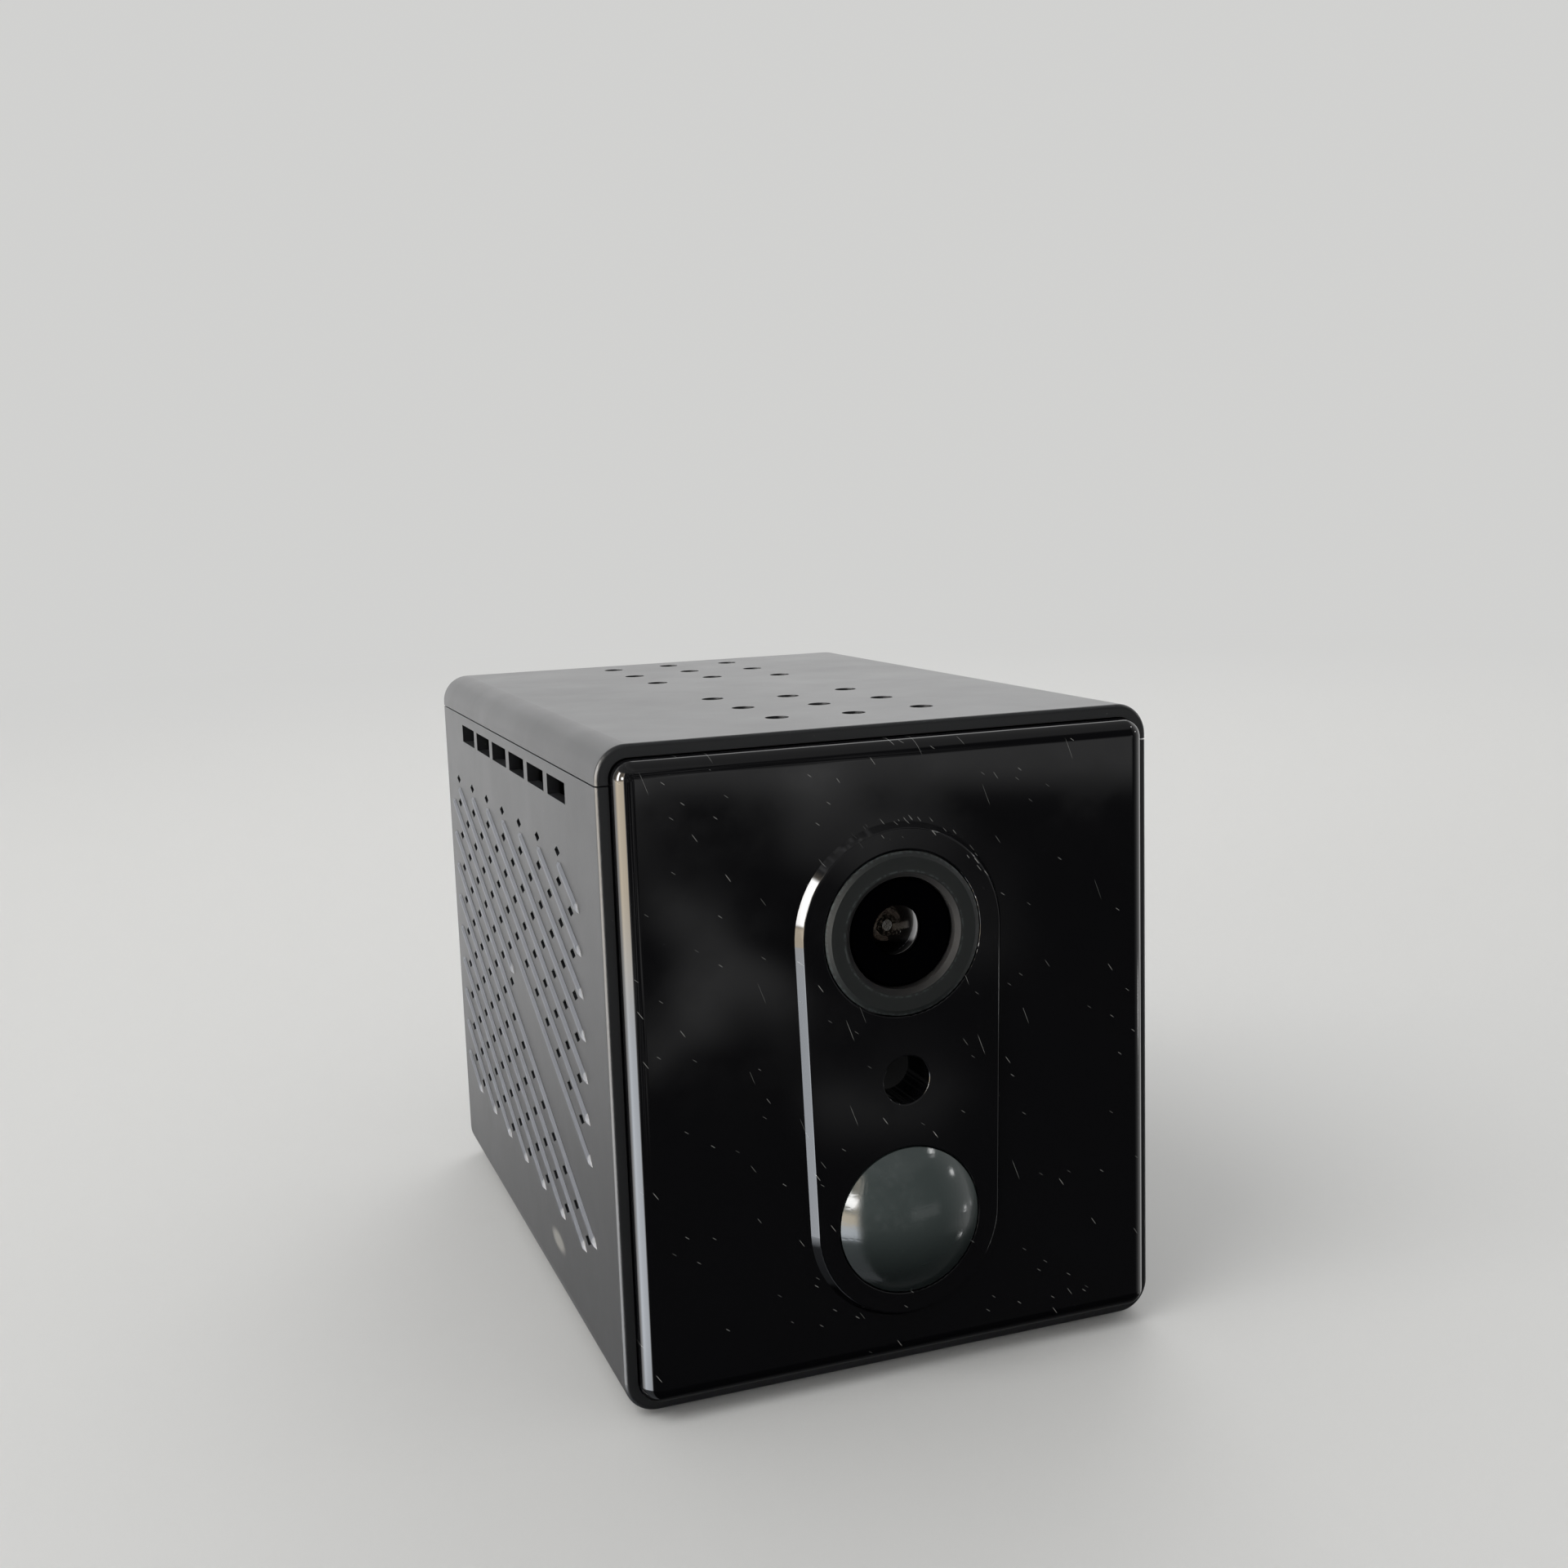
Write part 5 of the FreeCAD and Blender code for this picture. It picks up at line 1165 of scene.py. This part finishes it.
# room round the object: turns are degrees to the left of its front, heights run from -1 to 1 overhead
room = {
    "stops": [  # brightness by turn, in shares of the mirror strength
        (-180, 0.12),
        (-120, 0.1),
        (-85, 0.06),
        (-62, 0.02),
        (-48, 0.004),
        (47, 0.004),
        (55, 0.9),
        (100, 0.9),
        (112, 0.45),
        (122, 0.24),
        (135, 0.14),
        (150, 0.115),
        (160, 0.09),
        (170, 0.095),
        (180, 0.12),
    ],
    "warm": (1.1, 0.95, 0.74, 1.0),
    "cool": (0.94, 0.99, 1.06, 1.0),
    "warmHeights": (-0.3, -0.2),
    "tintFrom": (0.2, 0.6),  # only the bright part is tinted
    "behindShade": 0.25,
    "behindHeights": (-0.42, -0.1),
    "behindTurns": (120, 145),
    "floorShade": 0.05,
    "floorHeights": (-0.56, -0.42),
    "highLobe": 0.2,
    "eyeHeights": (-0.06, 0.02),
    "leftTurns": ((48, 58), (150, 120)),
    "dark": 0.03,
    "topHeights": (0.56, 0.7),
    "window": 2.4,
    "windowTurn": 91,
    "windowWide": 9,
    "windowSharp": 0.6,
    "windowHeights": ((-0.02, 0.02), (0.62, 0.57)),
    "shapes": 0.05,
    "shapeScale": 13.0,  # coarse: each is about a thirteenth of the room's radius
    "shapePatches": (0.46, 0.72),
    "shapeTurns": (-29, -21),
    "shapeHeights": (-0.36, -0.3),
    "band": 0.055,
    "bandHeights": ((-0.168, -0.145), (0.1, 0.0)),
    "bandTurns": ((-48, -38), (-5, -12)),
    "paneSharp": 0.5,
    "panes": [
        {"place": (0.729, -0.214, 0.650), "wide": 0.05, "light": 2.2},
        {"place": (0.943, -0.213, 0.257), "wide": 0.045, "light": 2.0},
        {"place": (0.956, -0.093, -0.277), "wide": 0.03, "light": 1.4},
        {"place": (0.837, -0.053, -0.544), "wide": 0.03, "light": 1.0},
        {"place": (-0.850, -0.490, 0.200), "wide": 0.17, "light": 2.6},
    ],
}
world = bpy.data.worlds.new("studio")
bpy.context.scene.world = world
world.use_nodes = True
# each kind of ray sees its own shade only when the rays find it themselves
world.cycles.sampling_method = "NONE"
tree = world.node_tree
tree.nodes.clear()
place = add(tree, "ShaderNodeTexCoord").outputs["Generated"]
split = add(tree, "ShaderNodeSeparateXYZ", links={0: place})
height = split.outputs["Z"]
turnX = add(tree, "ShaderNodeMath", {"operation": "MULTIPLY", 1: -1.0}, {0: split.outputs["X"]})
turnY = add(tree, "ShaderNodeMath", {"operation": "MULTIPLY", 1: -1.0}, {0: split.outputs["Y"]})
turnAngle = add(
    tree,
    "ShaderNodeMath",
    {"operation": "ARCTAN2"},
    {0: turnX.outputs[0], 1: turnY.outputs[0]},
)
turnPart = add(
    tree,
    "ShaderNodeMapRange",
    {"From Min": -math.pi, "From Max": math.pi},
    {"Value": turnAngle.outputs[0]},
)


def turnShare(degrees):
    # a turn as a share of the whole circle, which starts behind the object
    return (degrees + 180) / 360


def turnEdge(turns):
    # the edge of a mask between two turns
    return (turnPart.outputs[0], turnShare(turns[0]), turnShare(turns[1]))


around = add(tree, "ShaderNodeValToRGB", links={0: turnPart.outputs[0]})
setStops(around, [(turnShare(degrees), grey) for degrees, grey in room["stops"]])
tint = add(
    tree,
    "ShaderNodeMix",
    {"data_type": "RGBA", "A": room["cool"], "B": room["warm"]},
    {"Factor": mask(tree, [(height, *room["warmHeights"])])},
)
tintShare = add(
    tree,
    "ShaderNodeMapRange",
    {"From Min": room["tintFrom"][0], "From Max": room["tintFrom"][1]},
    {"Value": around.outputs["Color"]},
)
tinted = add(
    tree,
    "ShaderNodeMix",
    {"data_type": "RGBA", "A": (1.0, 1.0, 1.0, 1.0)},
    {"Factor": tintShare.outputs[0], "B": tint.outputs["Result"]},
)
walls = add(
    tree,
    "ShaderNodeMix",
    {"data_type": "RGBA", "blend_type": "MULTIPLY", "Factor": 1.0},
    {"A": around.outputs["Color"], "B": tinted.outputs["Result"]},
)
# the room gets darker towards the floor, most of all behind the object
deep = add(
    tree,
    "ShaderNodeMapRange",
    {"To Min": room["behindShade"]},
    {"Value": mask(tree, [(height, *room["behindHeights"])])},
)
footing = add(
    tree,
    "ShaderNodeMix",
    {"data_type": "FLOAT", "A": 1.0},
    {"Factor": mask(tree, [turnEdge(room["behindTurns"])]), "B": deep.outputs[0]},
)
floorFade = add(
    tree,
    "ShaderNodeMapRange",
    {"To Min": room["floorShade"]},
    {"Value": mask(tree, [(height, *room["floorHeights"])])},
)
lowShade = add(
    tree,
    "ShaderNodeMath",
    {"operation": "MULTIPLY"},
    {0: footing.outputs["Result"], 1: floorFade.outputs[0]},
)
lowWalls = add(
    tree,
    "ShaderNodeVectorMath",
    {"operation": "SCALE"},
    {0: walls.outputs["Result"], "Scale": lowShade.outputs[0]},
)
# the left side is weaker above eye level, and the room is dark overhead
eyeLevel = add(
    tree,
    "ShaderNodeMapRange",
    {"To Min": 1.0, "To Max": room["highLobe"]},
    {"Value": mask(tree, [(height, *room["eyeHeights"])])},
)
levelShade = add(
    tree,
    "ShaderNodeMix",
    {"data_type": "FLOAT", "A": 1.0},
    {
        "Factor": mask(tree, [turnEdge(turns) for turns in room["leftTurns"]]),
        "B": eyeLevel.outputs[0],
    },
)
levelWalls = add(
    tree,
    "ShaderNodeVectorMath",
    {"operation": "SCALE"},
    {0: lowWalls.outputs[0], "Scale": levelShade.outputs["Result"]},
)
roofed = add(
    tree,
    "ShaderNodeMix",
    {"data_type": "RGBA", "B": (room["dark"], room["dark"], room["dark"], 1.0)},
    {"Factor": mask(tree, [(height, *room["topHeights"])]), "A": levelWalls.outputs[0]},
)
# one bright window on the left, and in front faint soft shapes under a band of light
windowHalf = room["windowWide"] / 360
windowOff = add(
    tree,
    "ShaderNodeMath",
    {"operation": "SUBTRACT", 1: turnShare(room["windowTurn"])},
    {0: turnPart.outputs[0]},
)
windowReach = add(tree, "ShaderNodeMath", {"operation": "ABSOLUTE"}, {0: windowOff.outputs[0]})
windowEdges = [(windowReach.outputs[0], windowHalf, windowHalf * room["windowSharp"])]
windowEdges += [(height, *heights) for heights in room["windowHeights"]]
blotch = add(
    tree,
    "ShaderNodeTexNoise",
    {"Scale": room["shapeScale"], "Detail": 1.0},
    {"Vector": place},
)
shapes = add(
    tree,
    "ShaderNodeMapRange",
    {
        "interpolation_type": "SMOOTHSTEP",
        "From Min": room["shapePatches"][0],
        "From Max": room["shapePatches"][1],
        "To Max": room["shapes"],
    },
    {"Value": blotch.outputs["Fac"]},
)
shapeEdges = [turnEdge(room["shapeTurns"]), (height, *room["shapeHeights"])]
bandEdges = [(height, *heights) for heights in room["bandHeights"]]
bandEdges += [turnEdge(turns) for turns in room["bandTurns"]]
front = add(
    tree,
    "ShaderNodeMath",
    {"operation": "MULTIPLY_ADD", 1: room["band"]},
    {0: mask(tree, bandEdges), 2: mask(tree, shapeEdges, [shapes.outputs[0]])},
)
lights = add(
    tree,
    "ShaderNodeMath",
    {"operation": "MULTIPLY_ADD", 1: room["window"]},
    {0: mask(tree, windowEdges), 2: front.outputs[0]},
)
# small far panes, most of them on the right
for pane in room["panes"]:
    off = add(tree, "ShaderNodeVectorMath", {"operation": "DISTANCE", 1: pane["place"]}, {0: place})
    glow = mask(tree, [(off.outputs["Value"], pane["wide"], pane["wide"] * room["paneSharp"])])
    lights = add(
        tree,
        "ShaderNodeMath",
        {"operation": "MULTIPLY_ADD", 1: pane["light"]},
        {0: glow, 2: lights.outputs[0]},
    )
mirror = add(
    tree,
    "ShaderNodeMix",
    {"data_type": "RGBA", "blend_type": "ADD", "Factor": 1.0},
    {"A": roofed.outputs["Result"], "B": lights.outputs[0]},
)
rays = add(tree, "ShaderNodeLightPath")
seenShade = add(
    tree,
    "ShaderNodeBackground",
    {"Color": studio["wallColour"], "Strength": studio["wall"]},
)
matteShade = add(
    tree,
    "ShaderNodeBackground",
    {"Color": (1.0, 1.0, 1.0, 1.0), "Strength": studio["matte"]},
)
mirrorShade = add(
    tree,
    "ShaderNodeBackground",
    {"Strength": studio["mirror"]},
    {"Color": mirror.outputs["Result"]},
)
glossyOrNot = add(
    tree,
    "ShaderNodeMixShader",
    links={0: rays.outputs["Is Glossy Ray"], 1: matteShade.outputs[0], 2: mirrorShade.outputs[0]},
)
seenOrNot = add(
    tree,
    "ShaderNodeMixShader",
    links={0: rays.outputs["Is Camera Ray"], 1: glossyOrNot.outputs[0], 2: seenShade.outputs[0]},
)
add(tree, "ShaderNodeOutputWorld", links={"Surface": seenOrNot.outputs[0]})

lamps = [
    {
        "name": "keyLamp",
        "place": (-0.55, -0.2, 0.75),
        "aim": (0, 0, 0.03),
        "width": 0.6,
        "watts": 2.6,
        "mirrored": False,
    },
    {
        "name": "backLamp",
        "place": (0.35, 0.6, 0.6),
        "aim": (0, 0, 0.03),
        "width": 0.5,
        "watts": 1.0,
        "mirrored": True,
    },
]
for look in lamps:
    lamp = bpy.data.lights.new(look["name"], "AREA")
    lamp.shape = "DISK"
    lamp.size = look["width"]
    lamp.energy = look["watts"]
    holder = bpy.data.objects.new(look["name"], lamp)
    holder.location = look["place"]
    holder.visible_glossy = look["mirrored"]
    aim = Vector(look["aim"]) - Vector(look["place"])
    holder.rotation_euler = aim.to_track_quat("-Z", "Y").to_euler()
    bpy.context.scene.collection.objects.link(holder)

# camera at the photo's viewing angle: turned right, tilted down and rolled, in degrees
view = {
    "place": (-58.61 * mm, -168.335 * mm, 75.35 * mm),
    "turn": 19.98,
    "tilt": 8.91,
    "roll": -1.98,
    "lens": 41.085,
    "sensor": 36.0,
    "near": 0.01,
}
turn, tilt, roll = (math.radians(view[k]) for k in ("turn", "tilt", "roll"))
ahead = Vector((math.sin(turn), math.cos(turn), 0.0))
right = Vector((math.cos(turn), -math.sin(turn), 0.0))
upright = Vector((0.0, 0.0, 1.0))
aimed = ahead * math.cos(tilt) - upright * math.sin(tilt)
over = upright * math.cos(tilt) + ahead * math.sin(tilt)
rolledRight = right * math.cos(roll) + over * math.sin(roll)
rolledUp = over * math.cos(roll) - right * math.sin(roll)
pose = Matrix((rolledRight, rolledUp, -aimed)).transposed().to_4x4()
pose.translation = Vector(view["place"])
eye = bpy.data.cameras.new("photoView")
eye.lens = view["lens"]
eye.sensor_width = view["sensor"]
eye.sensor_fit = "HORIZONTAL"
eye.clip_start = view["near"]
eyeHolder = bpy.data.objects.new("photoView", eye)
eyeHolder.matrix_world = pose
bpy.context.scene.collection.objects.link(eyeHolder)
bpy.context.scene.camera = eyeHolder

bpy.context.scene.view_settings.view_transform = "Standard"
print("studio and camera ready")
